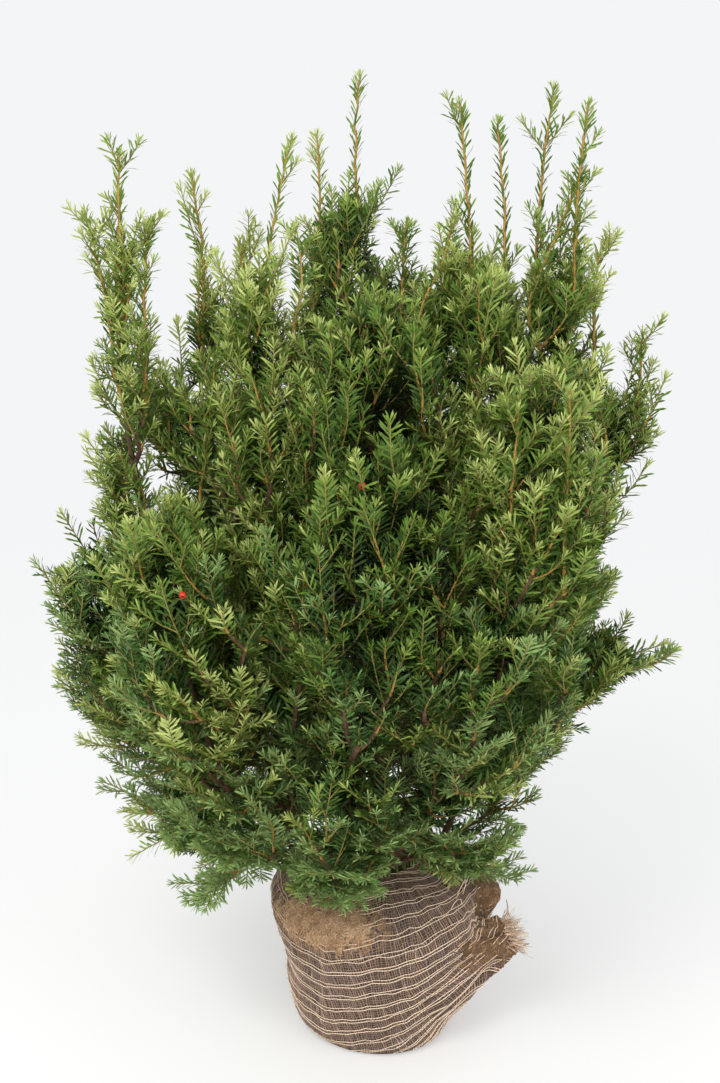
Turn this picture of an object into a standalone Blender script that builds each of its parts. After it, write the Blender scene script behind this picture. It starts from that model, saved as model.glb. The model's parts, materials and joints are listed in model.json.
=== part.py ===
"""An English yew shrub, 1.27 m tall, standing on a root ball that is wrapped in jute hessian.

The origin is the middle of the ball's flat underside, +Z is up and the best side of the shrub faces -Y.
A short stem rises from the ball and forks at once into many steep boughs. Each bough ends in a mass of
needles, and thin leading shoots stand out of the tops of the masses.
"""
import math
from dataclasses import dataclass

import bmesh
import bpy
import numpy as np
from mathutils import Vector, noise
from mathutils.bvhtree import BVHTree

# Width of the seat between two pieces that touch
GAP = 0.0003

# Root ball, from its flat underside to its gathered top
BALL_FOOT_RADIUS = 0.113
BALL_EDGE_RADIUS = 0.124
BALL_EDGE_HEIGHT = 0.018
BALL_WIDEST_RADIUS = 0.153
BALL_SHOULDER_HEIGHT = 0.178
BALL_TOP_RADIUS = 0.045
BALL_HEIGHT = 0.236
BALL_SIDES = 24
BALL_SHOULDER_STEPS = 4
BALL_SIDE_STEPS = 3
BALL_SIDE_CURVE = 1.25

# Hessian gathered into a knot on the right side of the ball
KNOT_ROOT = Vector((0.092, -0.050, 0.128))
KNOT_TIP = Vector((0.193, -0.060, 0.158))
KNOT_WIDTH = 0.055
KNOT_HEIGHT = 0.088
KNOT_FULLEST = 0.55
KNOT_SEED = 99

# Stem, from its flat cut on the ball to its top among the boughs
STEM_FOOT_RADIUS = 0.024
STEM_TOP_RADIUS = 0.014
STEM_SEAT = 0.004
STEM_FLARE = 0.011
STEM_FLARE_HEIGHT = 0.020
STEM_TOP = Vector((-0.006, 0.010, 0.400))

# Limbs: a bough leaves the stem toward a point out below its mass, and then turns up into the mass
LIMB_STEPS = 6
LIMB_LEVEL = 1
BOUGH_SEAT = 0.055
BOUGH_RISE = 0.30
BOUGH_REACH = 0.75

# Masses of needles
MASS_SIDES = 12
MASS_RINGS = 8
MASS_ROUGHNESS = 0.34
MASS_LUMP = 0.075
MASS_PLUMPNESS = 0.70

# A mass whose axis leans this far sideways has its width up and down
LYING = 0.8

# Leading shoots, clothed in short needles
SHOOT_RADIUS = 0.013
SHOOT_TIP_RADIUS = 0.004
SHOOT_BOW = 0.010


@dataclass
class Mass:
    """A mass of needles: its foot and its tip as (right, back, up), its width, its depth and where it is
    fullest on the way from foot to tip."""

    foot: tuple
    tip: tuple
    width: float
    depth: float
    fullest: float = 0.5


MASSES = {
    "mass_left_column": Mass((-0.322, -0.04, 0.62), (-0.306, -0.055, 1.10), 0.082, 0.090, 0.5),
    "mass_left_outer": Mass((-0.285, 0.00, 0.36), (-0.372, 0.00, 0.72), 0.175, 0.21),
    "mass_left_front": Mass((-0.215, -0.13, 0.38), (-0.262, -0.17, 0.80), 0.165, 0.18),
    "mass_left_low": Mass((-0.110, 0.01, 0.36), (-0.345, -0.01, 0.24), 0.180, 0.24),
    "mass_left_skirt": Mass((-0.135, -0.10, 0.28), (-0.215, -0.14, 0.50), 0.170, 0.18),
    "mass_left_upper": Mass((-0.225, 0.03, 0.58), (-0.226, 0.03, 1.05), 0.135, 0.17),
    "mass_left_inner": Mass((-0.155, -0.02, 0.56), (-0.152, 0.00, 1.06), 0.130, 0.18),
    "mass_left_deep": Mass((-0.125, -0.06, 0.34), (-0.130, -0.08, 0.78), 0.150, 0.17),
    "mass_centre_back": Mass((-0.050, 0.13, 0.64), (-0.044, 0.17, 1.14), 0.170, 0.19),
    "mass_centre_upper": Mass((-0.020, -0.05, 0.62), (-0.012, -0.06, 1.03), 0.200, 0.20),
    "mass_centre_front": Mass((-0.005, -0.17, 0.46), (-0.010, -0.19, 0.86), 0.230, 0.19),
    "mass_right_inner": Mass((0.110, 0.01, 0.70), (0.104, 0.01, 1.09), 0.150, 0.18),
    "mass_right_top": Mass((0.210, 0.03, 0.72), (0.214, 0.03, 1.09), 0.145, 0.18),
    "mass_right_outer": Mass((0.245, 0.03, 0.54), (0.318, 0.03, 0.94), 0.105, 0.16),
    "mass_right_front": Mass((0.165, -0.13, 0.58), (0.180, -0.16, 0.95), 0.175, 0.18),
    "mass_right_low": Mass((0.125, 0.00, 0.445), (0.373, 0.00, 0.553), 0.190, 0.23, 0.4),
    "mass_right_skirt": Mass((0.130, -0.14, 0.36), (0.140, -0.19, 0.72), 0.180, 0.18),
    "mass_foot_right": Mass((0.095, -0.09, 0.25), (0.105, -0.12, 0.50), 0.175, 0.17),
    "mass_foot_left": Mass((-0.055, -0.14, 0.25), (-0.060, -0.17, 0.53), 0.180, 0.17),
}


@dataclass
class Tier:
    """A tier of masses round the hidden side, standing at turns counted from +X toward +Y."""

    foot_reach: float
    foot_height: float
    tip_reach: float
    tip_height: float
    width: float
    turns: tuple


BACK_TIERS = {
    "low": Tier(0.17, 0.25, 0.28, 0.60, 0.23, (25, 65, 108, 150)),
    "middle": Tier(0.16, 0.46, 0.24, 0.86, 0.21, (42, 90, 138)),
    "top": Tier(0.12, 0.66, 0.19, 1.04, 0.18, (48,)),
}


@dataclass
class Bough:
    """A bough: the mass that it carries, the height at which it leaves the stem and its radii."""

    mass: str
    height: float
    foot_radius: float
    end_radius: float


BOUGHS = {
    "bough_left_skirt": Bough("mass_left_skirt", 0.262, 0.007, 0.004),
    "bough_foot_right": Bough("mass_foot_right", 0.262, 0.007, 0.004),
    "bough_back_low": Bough("mass_back_low_3", 0.265, 0.008, 0.005),
    "bough_left_outer": Bough("mass_left_outer", 0.290, 0.009, 0.005),
    "bough_right_low": Bough("mass_right_low", 0.290, 0.009, 0.005),
    "bough_left_front": Bough("mass_left_front", 0.311, 0.009, 0.005),
    "bough_right_front": Bough("mass_right_front", 0.305, 0.009, 0.005),
    "bough_back_middle": Bough("mass_back_middle_2", 0.310, 0.009, 0.005),
    "bough_left_column": Bough("mass_left_column", 0.330, 0.010, 0.005),
    "bough_right_outer": Bough("mass_right_outer", 0.335, 0.009, 0.005),
    "bough_centre_front": Bough("mass_centre_front", 0.335, 0.009, 0.005),
    "bough_left_upper": Bough("mass_left_upper", 0.365, 0.009, 0.005),
    "bough_right_top": Bough("mass_right_top", 0.365, 0.009, 0.005),
    "bough_centre_back": Bough("mass_centre_back", 0.365, 0.009, 0.005),
    "bough_right_inner": Bough("mass_right_inner", 0.388, 0.007, 0.005),
    "bough_left_inner": Bough("mass_left_inner", 0.388, 0.007, 0.005),
}

# Leading shoots: foot in the mass below it and tip, as (right, back, up)
SHOOTS = {
    "shoot_left_outer": ((-0.326, -0.05, 0.94), (-0.352, -0.05, 1.125)),
    "shoot_left_column": ((-0.306, -0.05, 1.04), (-0.305, -0.05, 1.186)),
    "shoot_left_column_inner": ((-0.286, -0.05, 0.95), (-0.272, -0.05, 1.108)),
    "shoot_left_upper": ((-0.224, 0.04, 0.99), (-0.238, 0.05, 1.157)),
    "shoot_left_inner": ((-0.150, 0.02, 0.99), (-0.112, 0.09, 1.196)),
    "shoot_centre_left": ((-0.086, 0.15, 1.02), (-0.087, 0.16, 1.199)),
    "shoot_centre_top": ((-0.032, 0.17, 1.08), (-0.029, 0.16, 1.271)),
    "shoot_right_inner": ((0.105, 0.01, 0.99), (0.084, 0.00, 1.240)),
    "shoot_right_middle": ((0.148, 0.02, 0.98), (0.131, 0.02, 1.222)),
    "shoot_right_top": ((0.187, 0.04, 0.98), (0.202, 0.04, 1.258)),
    "shoot_right_outer": ((0.232, 0.01, 0.99), (0.238, 0.00, 1.240)),
    "shoot_right_side": ((0.262, 0.04, 0.96), (0.274, 0.05, 1.082)),
}

BARK = ("bark", (0.16, 0.075, 0.040), 0.85)
NEEDLES = ("needles", (0.060, 0.125, 0.030), 0.55)
FRESH_NEEDLES = ("fresh needles", (0.150, 0.230, 0.050), 0.55)
HESSIAN = ("hessian", (0.200, 0.135, 0.095), 0.95)


def clear_scene():
    for item in list(bpy.data.objects):
        bpy.data.objects.remove(item)


def collection(name):
    made = bpy.data.collections.new(name)
    bpy.context.scene.collection.children.link(made)
    return made


def material(name, colour, roughness):
    found = bpy.data.materials.get(name)
    if found:
        return found
    made = bpy.data.materials.new(name)
    made.use_nodes = True
    shader = made.node_tree.nodes["Principled BSDF"]
    shader.inputs["Base Color"].default_value = (*colour, 1.0)
    shader.inputs["Roughness"].default_value = roughness
    shader.inputs["Metallic"].default_value = 0.0
    return made


def place(name, mesh, look, group):
    """Puts a mesh into the scene as a named, smooth-shaded piece with its own look."""
    made = bpy.data.objects.new(name, mesh)
    mesh.materials.append(material(*look))
    mesh.shade_smooth()
    group.objects.link(made)
    return made


def as_cutter(made):
    """Marks a piece as room that is kept free, so it isn't part of the shrub itself."""
    made.hide_render = True
    made.display_type = "WIRE"
    return made


def bezier(start, bend, end, steps):
    """Points along a bend from start to end that first heads for the bend point."""
    return [
        start.lerp(bend, t).lerp(bend.lerp(end, t), t)
        for t in (step / (steps - 1) for step in range(steps))
    ]


def limb_mesh(points, radii, swell=0.0):
    """A round tapering limb as a closed mesh. A swell widens and lengthens it, for a cutter."""
    curve = bpy.data.curves.new("limb", "CURVE")
    curve.dimensions = "3D"
    curve.bevel_depth = 1.0
    curve.bevel_resolution = LIMB_LEVEL
    curve.use_fill_caps = True
    spline = curve.splines.new("POLY")
    spline.points.add(len(points) - 1)
    for knot, point, radius in zip(spline.points, points, radii):
        knot.co = (*point, 1.0)
        knot.radius = radius + swell
    first = Vector(points[0]) + (points[0] - points[1]).normalized() * swell
    last = Vector(points[-1]) + (points[-1] - points[-2]).normalized() * swell
    spline.points[0].co = (*first, 1.0)
    spline.points[-1].co = (*last, 1.0)
    holder = bpy.data.objects.new("limb", curve)
    bpy.context.scene.collection.objects.link(holder)
    shaped = holder.evaluated_get(bpy.context.evaluated_depsgraph_get())
    mesh = bpy.data.meshes.new_from_object(shaped)
    bpy.data.objects.remove(holder)
    bpy.data.curves.remove(curve)
    welded = bmesh.new()
    welded.from_mesh(mesh)
    bmesh.ops.remove_doubles(welded, verts=welded.verts, dist=0.00001)
    welded.to_mesh(mesh)
    welded.free()
    return mesh


def taper(first, last, steps):
    return [first + (last - first) * step / (steps - 1) for step in range(steps)]


def ball_profile(swell=0.0):
    """Half the ball's outline, from its top at the axis down its side to the middle of its underside."""
    side = []
    for step in range(BALL_SHOULDER_STEPS + 1):
        turn = math.pi / 2 * step / BALL_SHOULDER_STEPS
        radius = BALL_TOP_RADIUS + (BALL_WIDEST_RADIUS - BALL_TOP_RADIUS) * math.sin(turn)
        height = BALL_SHOULDER_HEIGHT + (BALL_HEIGHT - BALL_SHOULDER_HEIGHT) * math.cos(turn)
        side.append((radius, height))
    for step in range(1, BALL_SIDE_STEPS + 1):
        share = step / BALL_SIDE_STEPS
        radius = BALL_WIDEST_RADIUS + (BALL_EDGE_RADIUS - BALL_WIDEST_RADIUS) * share**BALL_SIDE_CURVE
        height = BALL_SHOULDER_HEIGHT + (BALL_EDGE_HEIGHT - BALL_SHOULDER_HEIGHT) * share
        side.append((radius, height))
    side.append((BALL_FOOT_RADIUS, 0.0))
    widened = [(radius + swell, height) for radius, height in side]
    return [(0.0, BALL_HEIGHT + swell), *widened, (0.0, -swell)]


def ball_mesh(swell=0.0):
    mesh = bpy.data.meshes.new("ball")
    outline = ball_profile(swell)
    edges = [(at, at + 1) for at in range(len(outline) - 1)]
    mesh.from_pydata([(radius, 0.0, height) for radius, height in outline], edges, [])
    return mesh


def turn_round(made):
    """Turns half an outline at +X all the way round the upright axis."""
    screw = made.modifiers.new("turned", "SCREW")
    screw.steps = BALL_SIDES
    screw.render_steps = BALL_SIDES
    screw.use_merge_vertices = True
    screw.merge_threshold = 0.0001


def plump(along, fullest):
    """Share of the full width that a mass has at a place between its foot (0) and its tip (1)."""
    warp = math.log(0.5) / math.log(fullest)
    return max(0.0, math.sin(math.pi * along**warp)) ** MASS_PLUMPNESS


def mass_cage(shape, seed):
    """A mass of needles as a sphere drawn out along its own axis, with an uneven surface."""
    foot = Vector(shape.foot)
    rise = Vector(shape.tip) - foot
    up = rise.normalized()
    across = (Vector((1, 0, 0)) - up * up.x).normalized()
    if abs(up.x) > LYING:
        across = (Vector((0, 0, -1)) + up * up.z).normalized()
    through = up.cross(across)
    cage = bmesh.new()
    bmesh.ops.create_uvsphere(cage, u_segments=MASS_SIDES, v_segments=MASS_RINGS, radius=1.0)
    for corner in cage.verts:
        along = min(1.0, max(0.0, 0.5 + 0.5 * corner.co.z))
        ring = max(1e-6, math.hypot(corner.co.x, corner.co.y))
        width = plump(along, shape.fullest) / ring
        corner.co = (
            foot
            + rise * along
            + across * corner.co.x * width * shape.width / 2
            + through * corner.co.y * width * shape.depth / 2
        )
        uneven = noise.noise(corner.co / MASS_LUMP + Vector((seed, 0, 0)))
        axis_point = foot + rise * along
        corner.co = axis_point + (corner.co - axis_point) * (1 + MASS_ROUGHNESS * uneven)
    bmesh.ops.recalc_face_normals(cage, faces=cage.faces)
    return cage


def corners(cage):
    return np.array([corner.co for corner in cage.verts])


def keep_side(cage, point, outward):
    """Cuts a cage at a plane and closes it, keeping what lies behind the plane."""
    whole = [*cage.verts, *cage.edges, *cage.faces]
    cut = bmesh.ops.bisect_plane(
        cage, geom=whole, dist=0.000001, plane_co=point, plane_no=outward, clear_outer=True
    )
    rim = [item for item in cut["geom_cut"] if isinstance(item, bmesh.types.BMEdge)]
    bmesh.ops.holes_fill(cage, edges=rim, sides=0)


def part_two(first, second):
    """Parts two masses that grow into each other by the plane that suits both their shapes."""
    if not BVHTree.FromBMesh(first).overlap(BVHTree.FromBMesh(second)):
        return
    ours, theirs = corners(first), corners(second)
    between = theirs.mean(0) - ours.mean(0)
    spread_ours, spread_theirs = np.cov(ours.T), np.cov(theirs.T)
    normal = np.linalg.solve(spread_ours + spread_theirs, between)
    normal /= np.linalg.norm(normal)
    size_ours = math.sqrt(normal @ spread_ours @ normal)
    size_theirs = math.sqrt(normal @ spread_theirs @ normal)
    point = ours.mean(0) + between * size_ours / (size_ours + size_theirs)
    plane, outward = Vector(point), Vector(normal)
    keep_side(first, plane - outward * GAP / 2, outward)
    keep_side(second, plane + outward * GAP / 2, -outward)


def all_masses():
    """The masses of the best side by name, and after them those of the hidden side, tier by tier."""
    shapes = dict(MASSES)
    for tier_name, tier in BACK_TIERS.items():
        for number, turn in enumerate(tier.turns, 1):
            out = Vector((math.cos(math.radians(turn)), math.sin(math.radians(turn)), 0))
            shapes[f"mass_back_{tier_name}_{number}"] = Mass(
                out * tier.foot_reach + Vector((0, 0, tier.foot_height)),
                out * tier.tip_reach + Vector((0, 0, tier.tip_height)),
                tier.width,
                tier.width,
            )
    return shapes


def cut_by(made, cutter):
    cut = made.modifiers.new(f"round {cutter.name}", "BOOLEAN")
    cut.operation = "DIFFERENCE"
    cut.solver = "EXACT"
    cut.object = cutter


def cut_round(made, cutters):
    """Cuts a piece round each cutter that reaches it."""
    own = bmesh.new()
    own.from_mesh(made.data)
    surface = BVHTree.FromBMesh(own)
    own.free()
    for cutter in cutters:
        tool = bmesh.new()
        tool.from_mesh(cutter.data)
        touches = surface.overlap(BVHTree.FromBMesh(tool))
        tool.free()
        if touches:
            cut_by(made, cutter)


def build():
    clear_scene()
    shrub = collection("english_yew")
    tools = collection("cutters")
    shapes = all_masses()

    ball = place("root_ball", ball_mesh(), HESSIAN, shrub)
    turn_round(ball)
    ball_room = as_cutter(place("room_for_ball", ball_mesh(GAP), HESSIAN, tools))
    turn_round(ball_room)

    knot_shape = Mass(KNOT_ROOT, KNOT_TIP, KNOT_HEIGHT, KNOT_WIDTH, KNOT_FULLEST)
    knot_cage = mass_cage(knot_shape, KNOT_SEED)
    knot_mesh = bpy.data.meshes.new("knot")
    knot_cage.to_mesh(knot_mesh)
    knot_cage.free()
    knot = place("hessian_knot", knot_mesh, HESSIAN, shrub)
    cut_by(knot, ball_room)

    stem_foot = Vector((0, 0, BALL_HEIGHT - STEM_SEAT))
    stem_points = [stem_foot.lerp(STEM_TOP, step / (LIMB_STEPS - 1)) for step in range(LIMB_STEPS)]
    stem_radii = [
        radius + STEM_FLARE * math.exp(-(point.z - stem_foot.z) / STEM_FLARE_HEIGHT)
        for point, radius in zip(stem_points, taper(STEM_FOOT_RADIUS, STEM_TOP_RADIUS, LIMB_STEPS))
    ]
    stem = place("trunk", limb_mesh(stem_points, stem_radii), BARK, shrub)
    cut_by(stem, ball_room)
    stem_room = as_cutter(place("room_for_trunk", limb_mesh(stem_points, stem_radii, GAP), BARK, tools))

    rooms = [stem_room]
    for name, bough in BOUGHS.items():
        shape = shapes[bough.mass]
        share = (bough.height - stem_foot.z) / (STEM_TOP.z - stem_foot.z)
        start = stem_foot.lerp(STEM_TOP, share)
        rise = Vector(shape.tip) - Vector(shape.foot)
        end = Vector(shape.foot) + rise.normalized() * BOUGH_SEAT
        bend = Vector((end.x, end.y, start.z + BOUGH_RISE * (end.z - start.z)))
        bend = start.lerp(bend, BOUGH_REACH)
        points = bezier(start, bend, end, LIMB_STEPS)
        radii = taper(bough.foot_radius, bough.end_radius, LIMB_STEPS)
        limb = place(name, limb_mesh(points, radii), BARK, shrub)
        cut_round(limb, [stem_room])
        room = place(f"room_for_{name}", limb_mesh(points, radii, GAP), BARK, tools)
        rooms.append(as_cutter(room))

    for name, (foot, tip) in SHOOTS.items():
        foot, tip = Vector(foot), Vector(tip)
        bend = foot.lerp(tip, 0.5) + Vector((math.copysign(SHOOT_BOW, foot.x - tip.x), 0, 0))
        points = bezier(foot, bend, tip, LIMB_STEPS)
        radii = taper(SHOOT_RADIUS, SHOOT_TIP_RADIUS, LIMB_STEPS)
        place(name, limb_mesh(points, radii), FRESH_NEEDLES, shrub)
        room = place(f"room_for_{name}", limb_mesh(points, radii, GAP), FRESH_NEEDLES, tools)
        rooms.append(as_cutter(room))

    cages = {name: mass_cage(shape, seed) for seed, (name, shape) in enumerate(shapes.items(), 1)}
    names = list(cages)
    for at, name in enumerate(names):
        for other in names[at + 1 :]:
            part_two(cages[name], cages[other])
    for name, cage in cages.items():
        mesh = bpy.data.meshes.new(name)
        cage.to_mesh(mesh)
        cage.free()
        cut_round(place(name, mesh, NEEDLES, shrub), rooms)


build()
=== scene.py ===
"""The looks of an English yew shrub that stands on its root ball, wrapped in jute hessian.

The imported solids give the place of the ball, the trunk, the boughs and each mass of needles. Bark, twigs
and needles grow inside those masses by a seeded branching rule, and the ball is dressed in its jute net.
"""

import json
import math
import random

import bmesh
import bpy
import numpy as np
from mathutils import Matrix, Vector, noise
from mathutils.bvhtree import BVHTree
from mathutils.kdtree import KDTree

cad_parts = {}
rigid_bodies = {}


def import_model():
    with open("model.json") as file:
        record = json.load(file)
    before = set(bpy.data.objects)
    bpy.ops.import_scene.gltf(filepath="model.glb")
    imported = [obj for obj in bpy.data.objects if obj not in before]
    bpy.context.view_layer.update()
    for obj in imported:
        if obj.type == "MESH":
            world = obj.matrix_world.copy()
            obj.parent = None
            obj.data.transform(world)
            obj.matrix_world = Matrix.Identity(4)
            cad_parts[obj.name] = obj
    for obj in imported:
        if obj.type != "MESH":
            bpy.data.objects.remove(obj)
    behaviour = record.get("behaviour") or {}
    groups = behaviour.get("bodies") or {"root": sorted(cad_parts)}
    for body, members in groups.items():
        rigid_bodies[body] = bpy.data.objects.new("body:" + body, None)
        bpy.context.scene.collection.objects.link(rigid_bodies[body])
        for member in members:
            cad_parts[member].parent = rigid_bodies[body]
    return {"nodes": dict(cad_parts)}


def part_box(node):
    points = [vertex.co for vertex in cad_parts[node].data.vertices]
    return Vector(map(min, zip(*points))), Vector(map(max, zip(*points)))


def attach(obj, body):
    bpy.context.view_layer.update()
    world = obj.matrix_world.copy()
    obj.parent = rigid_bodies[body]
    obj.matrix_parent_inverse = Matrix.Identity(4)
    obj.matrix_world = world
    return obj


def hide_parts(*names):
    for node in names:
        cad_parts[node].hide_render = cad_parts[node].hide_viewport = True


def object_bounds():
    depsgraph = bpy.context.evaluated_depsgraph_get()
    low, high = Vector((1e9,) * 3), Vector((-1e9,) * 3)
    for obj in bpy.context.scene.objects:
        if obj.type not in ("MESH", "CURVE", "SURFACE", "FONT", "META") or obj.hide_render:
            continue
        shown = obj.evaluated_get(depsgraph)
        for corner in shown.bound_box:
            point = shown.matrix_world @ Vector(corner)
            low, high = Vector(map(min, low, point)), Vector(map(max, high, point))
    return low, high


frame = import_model()
cad_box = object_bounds()

# The view: a camera at the height of the crown's top, 1.8 m in front of the stem and tilted down at it,
# and a pale floor that fades into the even light of the studio, so that no horizon shows.
CAMERA_PLACE = Vector((-0.030, -1.830, 1.290))
CAMERA_TILT_DOWN = math.radians(18.1)
CAMERA_LENS = 50.0
CAMERA_SENSOR = 36.0
FLOOR_SIZE = 40.0
FLOOR_COLOUR = (0.86, 0.86, 0.855, 1.0)
STUDIO_COLOUR = (0.905, 0.912, 0.920, 1.0)
FADE_START = 1.2
FADE_END = 5.0
FLOOR_GLOW = 0.60


def new_object(name, data):
    """A new object in the scene, at the origin."""
    made = bpy.data.objects.new(name, data)
    bpy.context.scene.collection.objects.link(made)
    return made


camera_data = bpy.data.cameras.new("camera")
camera_data.lens = CAMERA_LENS
camera_data.sensor_width = CAMERA_SENSOR
camera = new_object("camera", camera_data)
camera.location = CAMERA_PLACE
camera.rotation_euler = (math.pi / 2 - CAMERA_TILT_DOWN, 0.0, 0.0)
bpy.context.scene.camera = camera
bpy.context.scene.view_settings.view_transform = "Standard"


class Wire:
    """One output in a node tree. Python's operators on a wire add Math nodes to its tree."""

    def __init__(self, tree, socket):
        self.tree = tree
        self.socket = socket

    def maths(self, operation, *values):
        return node(self.tree, "ShaderNodeMath", {"operation": operation}, dict(enumerate(values)))

    def __add__(self, other):
        return self.maths("ADD", self, other)

    def __radd__(self, other):
        return self.maths("ADD", other, self)

    def __sub__(self, other):
        return self.maths("SUBTRACT", self, other)

    def __rsub__(self, other):
        return self.maths("SUBTRACT", other, self)

    def __mul__(self, other):
        return self.maths("MULTIPLY", self, other)

    def __rmul__(self, other):
        return self.maths("MULTIPLY", other, self)

    def __truediv__(self, other):
        return self.maths("DIVIDE", self, other)

    def clamped(self):
        return node(self.tree, "ShaderNodeClamp", inputs={"Value": self})


def node(tree, kind, settings=None, inputs=None, output=0):
    """Adds a node to a tree: its settings, then the values or wires of its inputs. Gives one output."""
    made = tree.nodes.new(kind)
    for name, value in (settings or {}).items():
        if name == "stops":
            while len(made.color_ramp.elements) < len(value):
                made.color_ramp.elements.new(1.0)
            for element, (place, colour) in zip(made.color_ramp.elements, value):
                element.position = place
                element.color = (*colour, 1.0)
        else:
            setattr(made, name, value)
    for name, value in (inputs or {}).items():
        if isinstance(value, Wire):
            tree.links.new(value.socket, made.inputs[name])
        else:
            made.inputs[name].default_value = value
    return Wire(tree, made.outputs[output])


def finish_named(name):
    """A new material with its tree and its main shader node."""
    made = bpy.data.materials.new(name)
    made.use_nodes = True
    return made, made.node_tree, made.node_tree.nodes["Principled BSDF"]


floor_shape = bmesh.new()
bmesh.ops.create_grid(floor_shape, x_segments=1, y_segments=1, size=FLOOR_SIZE / 2)
floor_mesh = bpy.data.meshes.new("floor")
floor_shape.to_mesh(floor_mesh)
floor_shape.free()
floor = new_object("floor", floor_mesh)
floor_finish, floor_tree, floor_shader = finish_named("pale floor")
floor_shader.inputs["Base Color"].default_value = FLOOR_COLOUR
floor_shader.inputs["Roughness"].default_value = 0.7
floor_place = node(floor_tree, "ShaderNodeTexCoord", output="Object")
floor_distance = node(
    floor_tree, "ShaderNodeVectorMath", {"operation": "LENGTH"}, {0: floor_place}, output="Value"
)
fade = (FLOOR_GLOW + (floor_distance - FADE_START) / (FADE_END - FADE_START)).clamped()
studio_glow = node(
    floor_tree, "ShaderNodeEmission", inputs={"Color": STUDIO_COLOUR, "Strength": 1.0}
)
floor_mix = node(
    floor_tree, "ShaderNodeMixShader",
    inputs={0: fade, 1: Wire(floor_tree, floor_shader.outputs[0]), 2: studio_glow},
)
floor_tree.links.new(floor_mix.socket, floor_tree.nodes["Material Output"].inputs["Surface"])
floor_mesh.materials.append(floor_finish)

studio = bpy.data.worlds.new("studio")
studio.use_nodes = True
studio.node_tree.nodes["Background"].inputs["Color"].default_value = STUDIO_COLOUR
studio.node_tree.nodes["Background"].inputs["Strength"].default_value = 1.0
bpy.context.scene.world = studio


def soft_lamp(name, place, aim, size, power, colour):
    """A square lamp that faces a point."""
    lamp_data = bpy.data.lights.new(name, "AREA")
    lamp_data.shape = "SQUARE"
    lamp_data.size = size
    lamp_data.energy = power
    lamp_data.color = colour
    lamp = new_object(name, lamp_data)
    lamp.location = place
    lamp.rotation_euler = (Vector(aim) - Vector(place)).to_track_quat("-Z", "Y").to_euler()


soft_lamp("window lamp", (-1.2, -1.9, 3.2), (0.0, 0.0, 0.8), 1.6, 60.0, (1.0, 0.985, 0.94))
soft_lamp("bounce lamp", (2.2, -2.0, 2.4), (0.0, 0.0, 0.6), 2.0, 26.0, (1.0, 1.0, 0.98))
soft_lamp("front lamp", (-0.4, -3.4, 1.0), (0.0, 0.0, 0.5), 2.4, 38.0, (1.0, 0.99, 0.96))


# Root ball: firm soil wrapped in an open jute net and stood on its flat underside. The cloth is pulled
# together on the right into a knot, and brown fuzz covers the knot, the lump behind it and one shoulder.
# The wrap is one skin that is drawn out into the knot, and the net is laid on it afterwards.
BALL_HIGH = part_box("root_ball")[1]
BALL_RADIUS = BALL_HIGH.x
BALL_HEIGHT = BALL_HIGH.z
FOOT_RADIUS = 0.113
EDGE_RADIUS = 0.124
EDGE_HEIGHT = 0.018
SHOULDER_HEIGHT = 0.178
NECK_RADIUS = 0.045
SIDE_CURVE = 1.25
MEAN_RADIUS = 0.14
UP = Vector((0.0, 0.0, 1.0))
KNOT_PLACE = Vector((0.120, -0.068, 0.130))
KNOT_END = Vector((0.172, -0.066, 0.158))
KNOT_TURN = math.radians(61)
KNOT_SPREAD = (0.072, 0.062)
KNOT_FLAT = 0.45
KNOT_PROFILE = ((0.0, 0.0, 0.70), (0.08, 0.26, 0.97), (0.16, 0.36, 0.95), (0.34, 0.41, 0.60),
                (0.55, 0.52, 0.26), (0.78, 0.76, 0.06), (1.0, 1.0, 0.0))
KNOT_FOLD_DEPTH = 0.22
SKIN_TURNS = 300
SKIN_ROWS = 120
SAGGING = 0.0034
WRINKLES = 0.0011
# Each bulge of the wrap: how far it stands out, then its middle and reach in angle and in height.
BULGES = (
    (0.010, 1.65, 0.45, 0.185, 0.030), (-0.017, 1.25, 0.55, 0.022, 0.050),
    (-0.010, -math.pi / 2, 0.70, 0.110, 0.045),
)
# Each patch of fuzz: its middle and reach in angle, then in length up the side, its slope and thinness.
FUZZ_PATCHES = (
    (-0.64, 0.78, 0.2092, 0.042, 0.02, 0.0), (0.88, 0.36, 0.145, 0.060, 0.0, 0.34),
    (1.42, 0.36, 0.208, 0.036, 0.0, 0.0), (-2.5, 0.42, 0.190, 0.026, -0.03, 0.1),
)
FUZZ_EDGE = 0.9
FUZZ_RAGS = ((23, 90, 0.16), (61, -240, 0.16), (40, 610, 0.14))
FUZZ_LIFT = 0.0022


def ball_outline():
    """The ball's outline from the edge of its foot up to its neck: the radius, height and length so far."""
    sides = [(FOOT_RADIUS, 0.0)]
    for share in np.linspace(0, 1, 20):
        radius = EDGE_RADIUS + (BALL_RADIUS - EDGE_RADIUS) * (1 - (1 - share) ** SIDE_CURVE)
        sides.append((radius, EDGE_HEIGHT + (SHOULDER_HEIGHT - EDGE_HEIGHT) * share))
    for turn in np.linspace(0, math.pi / 2, 24)[1:]:
        radius = NECK_RADIUS + (BALL_RADIUS - NECK_RADIUS) * math.cos(turn)
        sides.append((radius, SHOULDER_HEIGHT + (BALL_HEIGHT - SHOULDER_HEIGHT) * math.sin(turn)))
    radii, heights = np.array(sides).T
    return radii, heights, np.concatenate([[0.0], np.cumsum(np.hypot(np.diff(radii), np.diff(heights)))])


OUTLINE_RADII, OUTLINE_HEIGHTS, OUTLINE_LENGTHS = ball_outline()
WRAP_HEIGHT = OUTLINE_LENGTHS[-1]


def waver(seeded, amount):
    """A small step to any side."""
    return Vector((seeded.gauss(0, amount), seeded.gauss(0, amount), seeded.gauss(0, amount)))


def turned_from(turn, middle=0.0):
    """The angle between a turn and a middle, from minus half a turn to half a turn."""
    return (turn - middle + math.pi) % (2 * math.pi) - math.pi


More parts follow.
